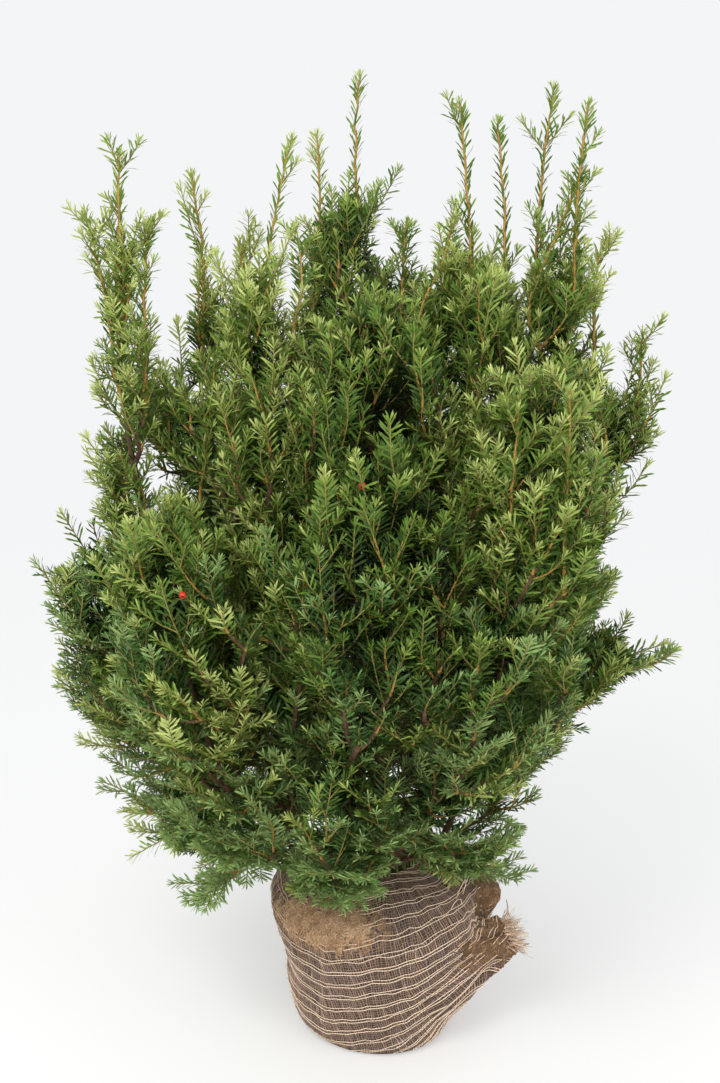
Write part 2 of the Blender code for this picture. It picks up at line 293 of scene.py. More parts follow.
def unevenness(places, size, seed):
    """Smooth noise at places, from about minus one to one, with lumps of a size."""
    return np.array([noise.noise(Vector(place) / size + Vector((seed, 0, 0))) for place in places])


def knot_nearness(places):
    """How near the knot's middle places lie, 0 there and 1 at its rim, and where from its axis."""
    axis = np.array((KNOT_END - KNOT_PLACE).normalized())
    upright = np.array((0.0, 0.0, 1.0)) - axis * axis[2]
    upright /= np.linalg.norm(upright)
    beside = np.cross(axis, upright)
    away = places - np.array(KNOT_PLACE)
    along_axis = away @ axis
    over, across = away @ upright, away @ beside
    near = np.hypot(over / KNOT_SPREAD[0], across / KNOT_SPREAD[1])
    near = np.where(along_axis < -0.08, 9.0, near)
    return near, along_axis, over, across, axis, upright, beside


def on_skin(turn, rise):
    """Places on the wrap by the angle round the ball and the way up its side, pulled out into the knot."""
    radius = np.interp(rise, OUTLINE_LENGTHS, OUTLINE_RADII)
    height = np.interp(rise, OUTLINE_LENGTHS, OUTLINE_HEIGHTS)
    bulge = sum(
        out * np.exp(-((turned_from(turn, middle) / reach) ** 2 + ((height - level) / band) ** 2))
        for out, middle, reach, level, band in BULGES
    )
    places = np.stack([np.sin(turn) * radius, -np.cos(turn) * radius, height], 1)
    settled = np.clip(height / 0.03, 0, 1)
    uneven = SAGGING * unevenness(places, 0.050, 3) + WRINKLES * unevenness(places, 0.014, 8)
    places[:, :2] *= (1 + (bulge + settled * uneven) / radius)[:, None]
    near, along_axis, over, across, axis, upright, beside = knot_nearness(places)
    inside = near < 1
    shares, widths, rises = np.array(KNOT_PROFILE).T
    width = np.interp(near, shares, widths) / np.maximum(near, 0.02)
    pulled = (KNOT_END - KNOT_PLACE).length * np.interp(near, shares, rises)
    round_axis = np.arctan2(over, across)
    folds = np.sin(5 * round_axis + 4 * near) + 0.6 * np.sin(11 * round_axis - 7 * near)
    folds = 1 + KNOT_FOLD_DEPTH * folds * np.clip(1.15 - near, 0, 1)
    flat = 1 - KNOT_FLAT * np.clip(1.0 - near, 0, 1)
    moved = (
        np.array(KNOT_PLACE)
        + axis * (along_axis * near**2 + pulled)[:, None]
        + upright * (over * width * folds)[:, None]
        + beside * (across * width * folds * flat)[:, None]
    )
    return np.where(inside[:, None], moved, places)


def above_skin(turn, rise, lift):
    """Places at a height above the wrap."""
    small = 0.0008
    place = on_skin(turn, rise)
    round_way = on_skin(turn + small / MEAN_RADIUS, rise) - place
    up_way = on_skin(turn, np.minimum(rise + small, WRAP_HEIGHT)) - place
    facing = np.cross(round_way, up_way)
    facing /= np.maximum(np.linalg.norm(facing, axis=1), 1e-12)[:, None]
    return place + facing * np.asarray(lift)[..., None]


def fuzziness(turn, rise):
    """Where brown fuzz hides the net, from 0 to 1, with a ragged edge."""
    bare = 9.0
    for middle, reach, level, band, slope, thinness in FUZZ_PATCHES:
        aside = turned_from(turn) - middle
        patch = (aside / reach) ** 2 + ((rise - level - slope * aside) / band) ** 2 + thinness
        bare = np.minimum(bare, patch)
    ragged = sum(np.sin(turn * around + rise * up) * amount for around, up, amount in FUZZ_RAGS)
    ragged += np.sin(turn * 137 + np.sin(rise * 400)) * 0.14
    return np.clip((1.05 - bare + ragged) / FUZZ_EDGE, 0, 1)


turns, rises = np.meshgrid(
    np.linspace(0, 2 * math.pi, SKIN_TURNS, endpoint=False), np.linspace(0, WRAP_HEIGHT, SKIN_ROWS)
)
turns, rises = turns.ravel(), rises.ravel()
fuzz = fuzziness(turns, rises)
skin_points = above_skin(turns, rises, FUZZ_LIFT * fuzz * np.clip(rises / 0.02, 0, 1))
skin_points[:, 2] = np.maximum(skin_points[:, 2], 0.0)
under, over = len(skin_points), len(skin_points) + 1
skin_faces = []
for row in range(SKIN_ROWS - 1):
    for column in range(SKIN_TURNS):
        beside = (column + 1) % SKIN_TURNS
        low, high = row * SKIN_TURNS, (row + 1) * SKIN_TURNS
        skin_faces.append((low + column, low + beside, high + beside, high + column))
for column in range(SKIN_TURNS):
    beside = (column + 1) % SKIN_TURNS
    top = (SKIN_ROWS - 1) * SKIN_TURNS
    skin_faces.append((under, beside, column))
    skin_faces.append((over, top + column, top + beside))
skin_mesh = bpy.data.meshes.new("hessian_skin")
skin_mesh.from_pydata(
    [*map(tuple, skin_points), (0.0, 0.0, 0.0), (0.0, 0.0, BALL_HEIGHT)], [], skin_faces
)
skin_mesh.shade_smooth()
skin_mesh.attributes.new("fuzz", "FLOAT", "POINT").data.foreach_set("value", [*fuzz, 0.5, 1.0])
skin = new_object("hessian_skin", skin_mesh)

# How far painted shade darkens the fuzz on the ball's right side.
RIGHT_SIDE_PAINTED_SHADE = 0.15
SOIL_STOPS = ((0.30, (0.030, 0.020, 0.015)), (0.52, (0.085, 0.056, 0.040)), (0.75, (0.165, 0.112, 0.078)))
FUZZ_STOPS = ((0.32, (0.110, 0.064, 0.034)), (0.48, (0.275, 0.168, 0.092)), (0.66, (0.520, 0.350, 0.215)))
skin_finish, tree, shader = finish_named("soil and jute fuzz")
place = node(tree, "ShaderNodeTexCoord", output="Object")
grain = node(tree, "ShaderNodeTexNoise", inputs={"Vector": place, "Scale": 420.0, "Detail": 3.0})
fibre_place = node(tree, "ShaderNodeMapping", inputs={"Vector": place, "Scale": (1.0, 1.0, 0.30)})
fibres = node(tree, "ShaderNodeTexNoise", inputs={"Vector": fibre_place, "Scale": 700.0, "Detail": 2.0})
mottle = node(tree, "ShaderNodeTexNoise", inputs={"Vector": place, "Scale": 60.0, "Detail": 3.0})
speckle = grain * 0.6 + mottle * 0.4
soil_colour = node(tree, "ShaderNodeValToRGB", {"stops": SOIL_STOPS}, {"Fac": speckle})
place_x = node(tree, "ShaderNodeSeparateXYZ", inputs={0: place}, output="X")
# Painted shade: the fuzz is drawn darker toward the ball's right side, from x = 0.05 m to 0.10 m.
right_painted_shade = ((place_x - 0.05) / 0.05).clamped() * RIGHT_SIDE_PAINTED_SHADE
fuzz_colour = node(
    tree, "ShaderNodeValToRGB", {"stops": FUZZ_STOPS}, {"Fac": fibres * 0.6 + mottle * 0.4 - right_painted_shade}
)
covered = node(tree, "ShaderNodeAttribute", {"attribute_name": "fuzz"}, output="Fac")
covered = ((covered + (grain - 0.5) * 1.6 - 0.22) * 2.2).clamped()
colour = node(
    tree, "ShaderNodeMix", {"data_type": "RGBA"}, {0: covered, 6: soil_colour, 7: fuzz_colour}, output=2
)
relief = node(
    tree, "ShaderNodeBump",
    inputs={"Height": grain * 0.5 + fibres * 0.5, "Strength": 0.8, "Distance": 0.0015},
)
tree.links.new(colour.socket, shader.inputs["Base Color"])
tree.links.new(relief.socket, shader.inputs["Normal"])
shader.inputs["Roughness"].default_value = 0.95
shader.inputs["Specular IOR Level"].default_value = 0.15
skin_mesh.materials.append(skin_finish)
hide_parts("root_ball", "hessian_knot")
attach(skin, "root")


# Net: pairs of twisted straw threads run round the ball in rows that rise to the knot. Thin yarns lie
# between the rows, and short upright yarns tie each row to the next. Each is a round cord, planned as a
# line of angles and lengths up the ball's side and then laid on the wrap.
PLAN_VALUES = ("thick", "age", "way", "face", "size", "tint")


def plain_finish(name, colour, roughness, gloss=0.3):
    """A material with one plain colour, for small pieces whose colours are dealt out by piece."""
    made, _, shader = finish_named(name)
    shader.inputs["Base Color"].default_value = (*colour, 1.0)
    shader.inputs["Roughness"].default_value = roughness
    shader.inputs["Specular IOR Level"].default_value = gloss
    return made


def new_tree(name, inputs):
    """An empty tree that takes geometry and named inputs and gives geometry."""
    tree = bpy.data.node_groups.new(name, "GeometryNodeTree")
    tree.interface.new_socket("Geometry", in_out="INPUT", socket_type="NodeSocketGeometry")
    for label, kind in inputs.items():
        tree.interface.new_socket(label, in_out="INPUT", socket_type=kind)
    tree.interface.new_socket("Geometry", in_out="OUTPUT", socket_type="NodeSocketGeometry")
    return tree


def entry(tree, label):
    return node(tree, "NodeGroupInput", output=label)


def named(tree, label, kind="FLOAT"):
    return node(tree, "GeometryNodeInputNamedAttribute", {"data_type": kind}, {"Name": label})


def give_finishes(tree, shape, finishes, label):
    """Ends a tree: real geometry, and on each face the finish that its numbered attribute names."""
    shape = node(tree, "GeometryNodeRealizeInstances", inputs={"Geometry": shape})
    chosen = named(tree, label, "INT")
    for number, finish in enumerate(finishes):
        same = node(
            tree, "FunctionNodeCompare", {"data_type": "INT", "operation": "EQUAL"}, {2: chosen, 3: number}
        )
        shape = node(
            tree, "GeometryNodeSetMaterial",
            inputs={"Geometry": shape, "Selection": same, "Material": finish},
        )
    leave = tree.nodes.new("NodeGroupOutput")
    tree.links.new(shape.socket, leave.inputs[0])


def make_piece(name, plan, tree, inputs):
    """Runs a tree on a mesh and keeps the result as a plain mesh object at the origin."""
    carrier = new_object(f"{name}_plan", plan)
    modifier = carrier.modifiers.new("nodes", "NODES")
    modifier.node_group = tree
    sockets = {item.name: item.identifier for item in tree.interface.items_tree if item.in_out == "INPUT"}
    for label, value in inputs.items():
        modifier[sockets[label]] = value
    evaluated = carrier.evaluated_get(bpy.context.evaluated_depsgraph_get())
    mesh = bpy.data.meshes.new_from_object(evaluated)
    bpy.data.objects.remove(carrier)
    mesh.name = name
    for label in PLAN_VALUES:
        if label in mesh.attributes:
            mesh.attributes.remove(mesh.attributes[label])
    return new_object(name, mesh)


def stem_tree(finishes):
    """Round stems along the edges of a mesh, as thick as each point's own thickness."""
    tree = new_tree("stems along paths", {"Sides": "NodeSocketInt"})
    path = node(tree, "GeometryNodeMeshToCurve", inputs={"Mesh": entry(tree, "Geometry")})
    ring = node(
        tree, "GeometryNodeCurvePrimitiveCircle", inputs={"Resolution": entry(tree, "Sides"), "Radius": 1.0}
    )
    shape = node(
        tree, "GeometryNodeCurveToMesh",
        inputs={"Curve": path, "Profile Curve": ring, "Scale": named(tree, "thick"), "Fill Caps": True},
    )
    give_finishes(tree, shape, finishes, "age")
    return tree


def path_mesh(name, lines, thicknesses, ages):
    """A mesh of open lines of edges, with a thickness and an age at each point."""
    mesh = bpy.data.meshes.new(name)
    points = np.concatenate([np.array([tuple(point) for point in line]) for line in lines])
    starts = np.cumsum([0] + [len(line) for line in lines[:-1]])
    edges = np.concatenate([
        start + np.stack([np.arange(len(line) - 1), np.arange(1, len(line))], 1)
        for start, line in zip(starts, lines)
    ])
    mesh.vertices.add(len(points))
    mesh.vertices.foreach_set("co", points.astype(np.float32).ravel())
    mesh.edges.add(len(edges))
    mesh.edges.foreach_set("vertices", edges.astype(np.int32).ravel())
    thick = mesh.attributes.new("thick", "FLOAT", "POINT")
    thick.data.foreach_set("value", np.concatenate(thicknesses).astype(np.float32))
    age = mesh.attributes.new("age", "INT", "POINT")
    age.data.foreach_set("value", np.concatenate(ages).astype(np.int32))
    return mesh


ROW_PITCH = 0.0213
PAIR_GAP = 0.0052
ROW_PULL = 0.100
ROW_PULL_WIDTH = math.radians(52)
ROW_TIGHTENING = 0.34
ROW_TIGHT_WIDTH = math.radians(34)
ROW_KNOT = 0.030
ROW_FIRST = -0.140
ROW_LAST = 0.318
ROW_LIFT_LEFT = 0.014
# Where the rows dip: the angle, the depth and the width of each crease.
CREASES = (
    (-0.58, 0.0055, 0.20), (-0.10, -0.0035, 0.16), (0.30, 0.0030, 0.12), (2.2, 0.006, 0.25),
    (-2.0, 0.005, 0.22), (-1.25, -0.003, 0.20), (3.0, -0.004, 0.2),
)
SHORTEST_CORD = 3
LOWEST_CORD = 0.0012
THREAD_STEP = 0.0021
THREAD_RADIUS = 0.00062
THREAD_PLY = 0.0042
THREAD_LIFT = 0.0011
THREAD_HIDDEN = 0.85
YARN_STEP = 0.0042
YARN_RADIUS = 0.00048
YARN_LIFT = 0.0006
YARN_HIDDEN = 0.75
YARNS_BETWEEN = 3
TIE_PITCH = 0.0030
TIE_POINTS = 5
TIE_LIFT = 0.0007
TIES_MISSING = 0.07
TIE_COLOURS = (2, 2, 3, 4, 5)
TIE_SHARES = (0.3, 0.2, 0.2, 0.2, 0.1)
HESSIAN_COLOURS = {
    "straw thread": (0.700, 0.500, 0.350),
    "pale straw thread": (0.840, 0.660, 0.500),
    "mauve jute yarn": (0.300, 0.205, 0.165),
    "brown jute yarn": (0.340, 0.225, 0.150),
    "grey jute yarn": (0.235, 0.180, 0.155),
    "pale jute yarn": (0.450, 0.330, 0.250),
}


def row_rise(turn, base):
    """How far up the ball a row of the net runs at each angle, for a row by its height on the far side."""
    wrapped = turned_from(turn)
    away = turned_from(turn, KNOT_TURN)
    pull = ROW_PULL * np.exp(-((np.abs(away) / ROW_PULL_WIDTH) ** 1.5))
    tight = 1 - ROW_TIGHTENING * np.exp(-((away / ROW_TIGHT_WIDTH) ** 2))
    left = ROW_LIFT_LEFT * np.clip((-0.8 - wrapped) / 0.7, 0, 1) * (wrapped > -2.2)
    left = left * np.clip(base / 0.2, 0, 1)
    rise = ROW_KNOT + pull + (base - ROW_KNOT) * tight + left
    for place, depth, width in CREASES:
        rise = rise - depth * np.clip(1 - np.abs(wrapped - place - (base - 0.1) * 0.9) / width, 0, 1)
    return rise


cords = {"threads": [], "net": []}


def lay(kind, turn, rise, lift, radius, colour, hidden):
    """Plans one cord on the wrap, broken where fuzz hides it and where it leaves the ball's side."""
    kept = (rise > 0.004) & (rise < WRAP_HEIGHT - 0.003) & (fuzziness(turn, rise) < hidden)
    edges = np.flatnonzero(np.diff(np.concatenate([[0], kept.astype(int), [0]])))
    for first, last in zip(edges[::2], edges[1::2]):
        if last - first >= SHORTEST_CORD:
            part = slice(first, last)
            cords[kind].append((turn[part], rise[part], lift[part], radius[part], colour[part]))


seeded = np.random.default_rng(21)
row_bases = np.arange(ROW_FIRST, ROW_LAST, ROW_PITCH)
around = np.arange(-math.pi, math.pi + 0.001, THREAD_STEP / MEAN_RADIUS)
yarn_around = np.arange(-math.pi, math.pi + 0.001, YARN_STEP / MEAN_RADIUS)
for base in row_bases:
    for offset in (-PAIR_GAP / 2, PAIR_GAP / 2):
        wander = np.interp(around, np.linspace(-math.pi, math.pi, 90), seeded.normal(0, 0.0007, 90))
        length = np.arange(len(around)) * THREAD_STEP
        ply = 0.5 + 0.5 * np.sin(2 * math.pi * length / THREAD_PLY + seeded.uniform(0, 6.3))
        tight = 1 - ROW_TIGHTENING * np.exp(-(((around - KNOT_TURN) / ROW_TIGHT_WIDTH) ** 2))
        rise = row_rise(around, base) + offset * tight + wander
        radius = THREAD_RADIUS * (0.72 + 0.42 * ply) * seeded.uniform(0.9, 1.1)
        dim = fuzziness(around, rise) + seeded.uniform(0, 0.25)
        colour = np.where(dim > 0.3, 0, (ply > 0.35).astype(int))
        lay("threads", around, rise, THREAD_LIFT + 0.0004 * ply, radius, colour, THREAD_HIDDEN)
    for number in range(YARNS_BETWEEN):
        share = (number + 1) / (YARNS_BETWEEN + 1)
        wander = np.interp(yarn_around, np.linspace(-math.pi, math.pi, 120), seeded.normal(0, 0.0005, 120))
        between = base + PAIR_GAP / 2 + (ROW_PITCH - PAIR_GAP) * share
        rise = row_rise(yarn_around, between) + wander
        radius = YARN_RADIUS * seeded.uniform(0.7, 1.5, len(rise))
        colour = np.full(len(rise), 2 + seeded.integers(0, 3))
        lay("net", yarn_around, rise, np.full(len(rise), YARN_LIFT), radius, colour, YARN_HIDDEN)
    for turn in np.arange(-math.pi, math.pi, TIE_PITCH / MEAN_RADIUS):
        turn += seeded.uniform(-0.004, 0.004)
        if seeded.random() < TIES_MISSING:
            continue
        low, high = row_rise(np.array([turn, turn]), np.array([base, base + ROW_PITCH]))
        slope = (row_rise(np.array([turn + 0.05]), base)[0] - low) / (0.05 * MEAN_RADIUS)
        shares = np.linspace(0, 1, TIE_POINTS)
        slant = -slope * (high - low) / MEAN_RADIUS * 0.8
        path = turn + slant * shares + seeded.normal(0, 0.0022, TIE_POINTS)
        lift = TIE_LIFT + 0.0005 * np.sin(shares * math.pi * 3)
        radius = YARN_RADIUS * seeded.uniform(0.8, 2.3, TIE_POINTS)
        colour = np.full(TIE_POINTS, seeded.choice(TIE_COLOURS, p=TIE_SHARES))
        lay("net", path, low + (high - low) * shares, lift, radius, colour, seeded.uniform(0.35, 0.9))

cord_tree = stem_tree(
    [plain_finish(name, colour, 0.9, gloss=0.2) for name, colour in HESSIAN_COLOURS.items()]
)


def make_cords(name, lines, thicknesses, colours, sides):
    """Round cords along lines, as one piece of the hessian."""
    plan = path_mesh(f"{name}_plan", lines, thicknesses, colours)
    piece = make_piece(name, plan, cord_tree, {"Sides": sides})
    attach(piece, "root")


for kind, sides in (("threads", 4), ("net", 3)):
    cord_turns, cord_rises, cord_lifts, cord_radii, cord_colours = zip(*cords[kind])
    places = above_skin(*map(np.concatenate, (cord_turns, cord_rises, cord_lifts)))
    places[:, 2] = np.maximum(places[:, 2], LOWEST_CORD)
    ends = np.cumsum([len(cord) for cord in cord_turns])[:-1]
    make_cords(f"hessian_{kind}", np.split(places, ends), cord_radii, cord_colours, sides)


# Loose fibres: frayed ends stand out of the knot, a few threads loop up above it, and fine whiskers
# cover the whole wrap.
FRAY_COUNT = 260
FRAY_REACH = (0.008, 0.034)
FRAY_RADII = (0.0003, 0.0004, 0.0008, 0.0011)
WHISKER_COUNT = 1500
WHISKER_REACH = (0.003, 0.008)
WHISKER_RADIUS = 0.00018
FIBRE_POINTS = 6
FRAY_COLOURS = (0, 0, 1, 1, 1, 5, 3)
WHISKER_COLOURS = (0, 5, 5, 3, 3, 2)
# The angle, the length up the side, the width and the height of each loop.
LOOPS = ((0.95, 0.236, 0.008, 0.028), (0.82, 0.226, 0.009, 0.013), (1.08, 0.212, 0.011, 0.010))
LOOP_POINTS = 12

seeded = random.Random(33)
axis = (KNOT_END - KNOT_PLACE).normalized()
upright = (UP - axis * axis.z).normalized()
beside = axis.cross(upright)
fibres, radii, colours = [], [], []


def add_fibre(start, heading, reach, bend, radius, colour):
    """Plans one fibre that wavers, bends one way and thins toward its end."""
    points = [start]
    for _ in range(FIBRE_POINTS - 1):
        heading = (heading + bend + waver(seeded, 0.16)).normalized()
        points.append(points[-1] + heading * reach / (FIBRE_POINTS - 1))
    fibres.append(points)
    radii.append(np.linspace(radius, radius * 0.5, FIBRE_POINTS))
    colours.append(np.full(FIBRE_POINTS, colour))


for _ in range(FRAY_COUNT):
    turn = seeded.uniform(0, 2 * math.pi)
    share = math.sqrt(seeded.random())
    over, across = math.cos(turn) * share, math.sin(turn) * share
    start = KNOT_END - axis * seeded.uniform(0.001, 0.014) + upright * over * 0.024 + beside * across * 0.012
    heading = axis + upright * over * 0.55 + beside * across * 0.6
    colour = seeded.choice(FRAY_COLOURS)
    radius = seeded.choice(FRAY_RADII)
    add_fibre(start, heading.normalized(), seeded.uniform(*FRAY_REACH), -UP * 0.05, radius, colour)
whisker_turns = np.array([seeded.uniform(0, 2 * math.pi) for _ in range(WHISKER_COUNT)])
whisker_rises = np.array([seeded.uniform(0.012, WRAP_HEIGHT * 0.97) for _ in range(WHISKER_COUNT)])
feet = above_skin(whisker_turns, whisker_rises, np.zeros(WHISKER_COUNT))
outs = above_skin(whisker_turns, whisker_rises, np.full(WHISKER_COUNT, 0.01)) - feet
for foot, out in zip(feet, outs):
    heading = (Vector(out).normalized() + waver(seeded, 0.8)).normalized()
    colour = seeded.choice(WHISKER_COLOURS)
    add_fibre(Vector(foot), heading, seeded.uniform(*WHISKER_REACH), Vector(), WHISKER_RADIUS, colour)
for turn, rise, width, height in LOOPS:
    share = np.linspace(0, math.pi, LOOP_POINTS)
    line = above_skin(
        turn + np.cos(share) * width / MEAN_RADIUS, np.full(LOOP_POINTS, rise), np.full(LOOP_POINTS, 0.001)
    )
    leaning = np.array((math.sin(turn) * 0.3, -math.cos(turn) * 0.3, 1.0))
    line = line + leaning * (height * np.sin(share))[:, None]
    fibres.append([Vector(place) for place in line])
    radii.append(np.full(LOOP_POINTS, THREAD_RADIUS * 0.9))
    colours.append(np.full(LOOP_POINTS, 1))
make_cords("hessian_fibres", fibres, radii, colours, 3)


# Bark: trunk and boughs as one skin over their solids, with the long loose flakes of an old yew in red
# brown. The solids are joined, remeshed so that a bough grows out of the trunk without a seam, and ridged.
BOUGHS = sorted(name for name in frame["nodes"] if name.startswith("bough_"))
BARK_VOXEL = 0.0034
BARK_FLAKE = (0.0055, 0.0055, 0.026)
BARK_RELIEF = 0.0014
BARK_LUMP = 0.020
BARK_LUMPS = 0.0016

bark_shape = bmesh.new()
for name in ["trunk", *BOUGHS]:
    bark_shape.from_mesh(frame["nodes"][name].data)
bmesh.ops.remove_doubles(bark_shape, verts=bark_shape.verts, dist=0.00005)
bark_mesh = bpy.data.meshes.new("bark_plan")
bark_shape.to_mesh(bark_mesh)
bark_shape.free()
carrier = new_object("bark_plan", bark_mesh)
remesh = carrier.modifiers.new("one skin", "REMESH")
remesh.mode = "VOXEL"
remesh.voxel_size = BARK_VOXEL
smooth = carrier.modifiers.new("rounded", "CORRECTIVE_SMOOTH")
smooth.use_only_smooth = True
smooth.iterations = 4
bark_mesh = bpy.data.meshes.new_from_object(
    carrier.evaluated_get(bpy.context.evaluated_depsgraph_get())
)
bpy.data.objects.remove(carrier)
facings = [corner.normal.copy() for corner in bark_mesh.vertices]
for corner, facing in zip(bark_mesh.vertices, facings):
    stretched = Vector(a / b for a, b in zip(corner.co, BARK_FLAKE))
    relief = BARK_RELIEF * noise.ridged_multi_fractal(stretched, 0.9, 2.0, 3, 1.0, 2.0) * 0.6
    relief += BARK_LUMPS * noise.noise(corner.co / BARK_LUMP)
    corner.co += facing * (relief - BARK_RELIEF)
bark_mesh.shade_smooth()
bark_mesh.name = "bark"
bark = new_object("bark", bark_mesh)

BARK_STOPS = ((0.30, (0.035, 0.016, 0.010)), (0.50, (0.130, 0.060, 0.032)), (0.72, (0.250, 0.130, 0.072)))
bark_finish, tree, shader = finish_named("flaking yew bark")
place = node(tree, "ShaderNodeTexCoord", output="Object")
flake_place = node(tree, "ShaderNodeMapping", inputs={"Vector": place, "Scale": (1.0, 1.0, 0.22)})
flakes = node(tree, "ShaderNodeTexNoise", inputs={"Vector": flake_place, "Scale": 170.0, "Detail": 4.0})
patches = node(tree, "ShaderNodeTexNoise", inputs={"Vector": place, "Scale": 38.0, "Detail": 2.0})
colour = node(tree, "ShaderNodeValToRGB", {"stops": BARK_STOPS}, {"Fac": flakes * 0.65 + patches * 0.35})
relief = node(tree, "ShaderNodeBump", inputs={"Height": flakes, "Strength": 0.7, "Distance": 0.002})
tree.links.new(colour.socket, shader.inputs["Base Color"])
tree.links.new(relief.socket, shader.inputs["Normal"])
shader.inputs["Roughness"].default_value = 0.85
shader.inputs["Specular IOR Level"].default_value = 0.25
bark_mesh.materials.append(bark_finish)
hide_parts("trunk", *BOUGHS)
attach(bark, "root")


# The wood's plan: the trunk and the boughs stand where their solids are, and every branch of the crown
# starts from a point of this wood, or from a branch that has already grown.
FORK = Vector((-0.004, 0.006, 0.290))
LIMB_SIDES = 6
STEP = 0.011
MASSES = sorted(name for name in frame["nodes"] if name.startswith("mass_"))
LEADING = sorted(name for name in frame["nodes"] if name.startswith("shoot_"))


def from_fork(place):
    """How far a place is from the fork of the boughs."""
    return (place - FORK).length


def centre_line(name):
    """The middle of a limb from its foot to its tip: the corners of its solid in rings, each ring's mean."""
    solid = frame["nodes"][name].data
    corners = {tuple(round(value, 5) for value in corner.co) for corner in solid.vertices}
    ordered = sorted((Vector(corner) for corner in corners), key=from_fork)
    rings = [ordered[first:first + LIMB_SIDES] for first in range(0, len(ordered), LIMB_SIDES)]
    return [sum(ring, Vector()) / len(ring) for ring in rings if len(ring) > LIMB_SIDES // 2]


def along(points):
    """The same line with a point at every step."""
    made = [points[0].copy()]
    for start, end in zip(points, points[1:]):
        count = max(1, round((end - start).length / STEP))
        made += [start.lerp(end, (number + 1) / count) for number in range(count)]
    return made


class Stem:
    """A stretch of wood from its foot on a parent stem to its tip, clothed in needles along its end."""

    def __init__(self, points, kind, parent=None, joint=0, mass="", spray=0, clothed=0.0, sparse=0.0):
        self.points = points
        self.kind = kind
        self.parent = parent
        self.joint = joint
        self.mass = mass
        self.spray = spray
        self.clothed = clothed
        self.sparse = sparse
        self.load = np.zeros(len(points))

    def length(self):
        return sum((b - a).length for a, b in zip(self.points, self.points[1:]))

    def at(self, distance):
        """The point, the heading and the number of the point before it, at a distance from the foot."""
        for number, (a, b) in enumerate(zip(self.points, self.points[1:])):
            stretch = (b - a).length
            if distance <= stretch or number == len(self.points) - 2:
                share = min(1.0, distance / max(stretch, 1e-9))
                return a.lerp(b, share), (b - a).normalized(), number
            distance -= stretch


class Wood:
    """All stems so far, with the points from which a new branch may start."""

    def __init__(self):
        self.stems = []
        self.places = np.zeros((0, 3))
        self.owners = []

    def add(self, stem, open_end=0):
        """Keeps a stem. New branches may start anywhere on it but its last few points."""
        self.stems.append(stem)
        usable = stem.points[1:len(stem.points) - open_end]
        if usable:
            self.places = np.concatenate([self.places, np.array([tuple(point) for point in usable])])
            self.owners += [(stem, number + 1) for number in range(len(usable))]
        return stem


wood = Wood()
trunk_low, trunk_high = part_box("trunk")
trunk_top = Vector(((trunk_low.x + trunk_high.x) / 2, (trunk_low.y + trunk_high.y) / 2, trunk_high.z))
wood.add(Stem(along([Vector((0.0, 0.0, 0.25)), trunk_top]), "limb"))
for bough in BOUGHS:
    wood.add(Stem(along(centre_line(bough)), "limb"))


# Room for the needles: each mass is a closed solid, and every shoot asks how far inside or outside the
# masses it stands, so that the crown keeps the shrub's own outline and its gaps. Points spread over the
# crown's skin are the places that the branches grow to.
SKIN_DENSITY = 9000
SKIN_SPACING = 0.036
TOUCHING = 0.004
# Where the photograph shows sky through or beside the crown: across, height and radius in the stem's plane.
SKY_GAPS = (
    (0.302, 0.442, 0.027), (-0.312, 0.234, 0.027), (0.303, 0.909, 0.025), (0.348, 0.565, 0.026),
    (0.274, 0.396, 0.027), (0.337, 0.479, 0.026), (-0.056, 1.150, 0.024), (-0.380, 0.706, 0.024),
    (0.106, 1.076, 0.022), (0.280, 0.973, 0.022), (0.228, 0.356, 0.025), (0.301, 0.674, 0.022),
    (0.324, 0.768, 0.025), (-0.282, 0.785, 0.020), (-0.303, 0.749, 0.020), (-0.241, 1.030, 0.016),
    (-0.251, 0.986, 0.016), (0.159, 1.067, 0.016), (-0.266, 0.208, 0.019), (0.323, 0.718, 0.018),
    (-0.364, 0.908, 0.012), (-0.365, 0.846, 0.012), (-0.157, 1.051, 0.012), (0.009, 1.075, 0.014),
    (0.212, 1.081, 0.012), (0.162, 1.035, 0.012), (0.175, 0.311, 0.014),
    (0.328, 1.001, 0.026), (0.308, 0.974, 0.022), (0.333, 0.959, 0.016),
    (-0.285, 1.001, 0.012), (-0.251, 0.946, 0.014), (-0.168, 1.079, 0.014),
)
GAP_EDGE = 0.010
GAP_HARDNESS = 3.0


class Room:
    """The space of one mass."""

    def __init__(self, name):
        mesh = frame["nodes"][name].data
        mesh.calc_loop_triangles()
        self.corners = np.array([corner.co[:] for corner in mesh.vertices])
        self.triangles = np.array([face.vertices[:] for face in mesh.loop_triangles])
        self.surface = BVHTree.FromPolygons(self.corners.tolist(), self.triangles.tolist())
        self.low, self.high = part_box(name)

    def near(self, point, margin):
        """Whether a point is in the mass's box or within a margin of it."""
        return (
            self.low.x - margin < point.x < self.high.x + margin
            and self.low.y - margin < point.y < self.high.y + margin
            and self.low.z - margin < point.z < self.high.z + margin
        )

    def beyond(self, point):
        """How far outside the solid a point is, or less than nothing inside it."""
        nearest, normal, _, distance = self.surface.find_nearest(point)
        return distance if (point - nearest).dot(normal) > 0 else -distance

    def skin(self, seeded):
        """Points spread evenly over the surface, each with the way that the surface faces."""
        a, b, c = (self.corners[self.triangles[:, number]] for number in range(3))
        facing = np.cross(b - a, c - a)
        area = np.linalg.norm(facing, axis=1) / 2
        count = int(area.sum() * SKIN_DENSITY)
        picked = seeded.choice(len(area), count, p=area / area.sum())
        first, second = seeded.random((2, count))
        over = first + second > 1
        first[over], second[over] = 1 - first[over], 1 - second[over]
        places = a[picked] + first[:, None] * (b - a)[picked] + second[:, None] * (c - a)[picked]
        return places, facing[picked] / (2 * area[picked, None])


rooms = {name: Room(name) for name in MASSES}


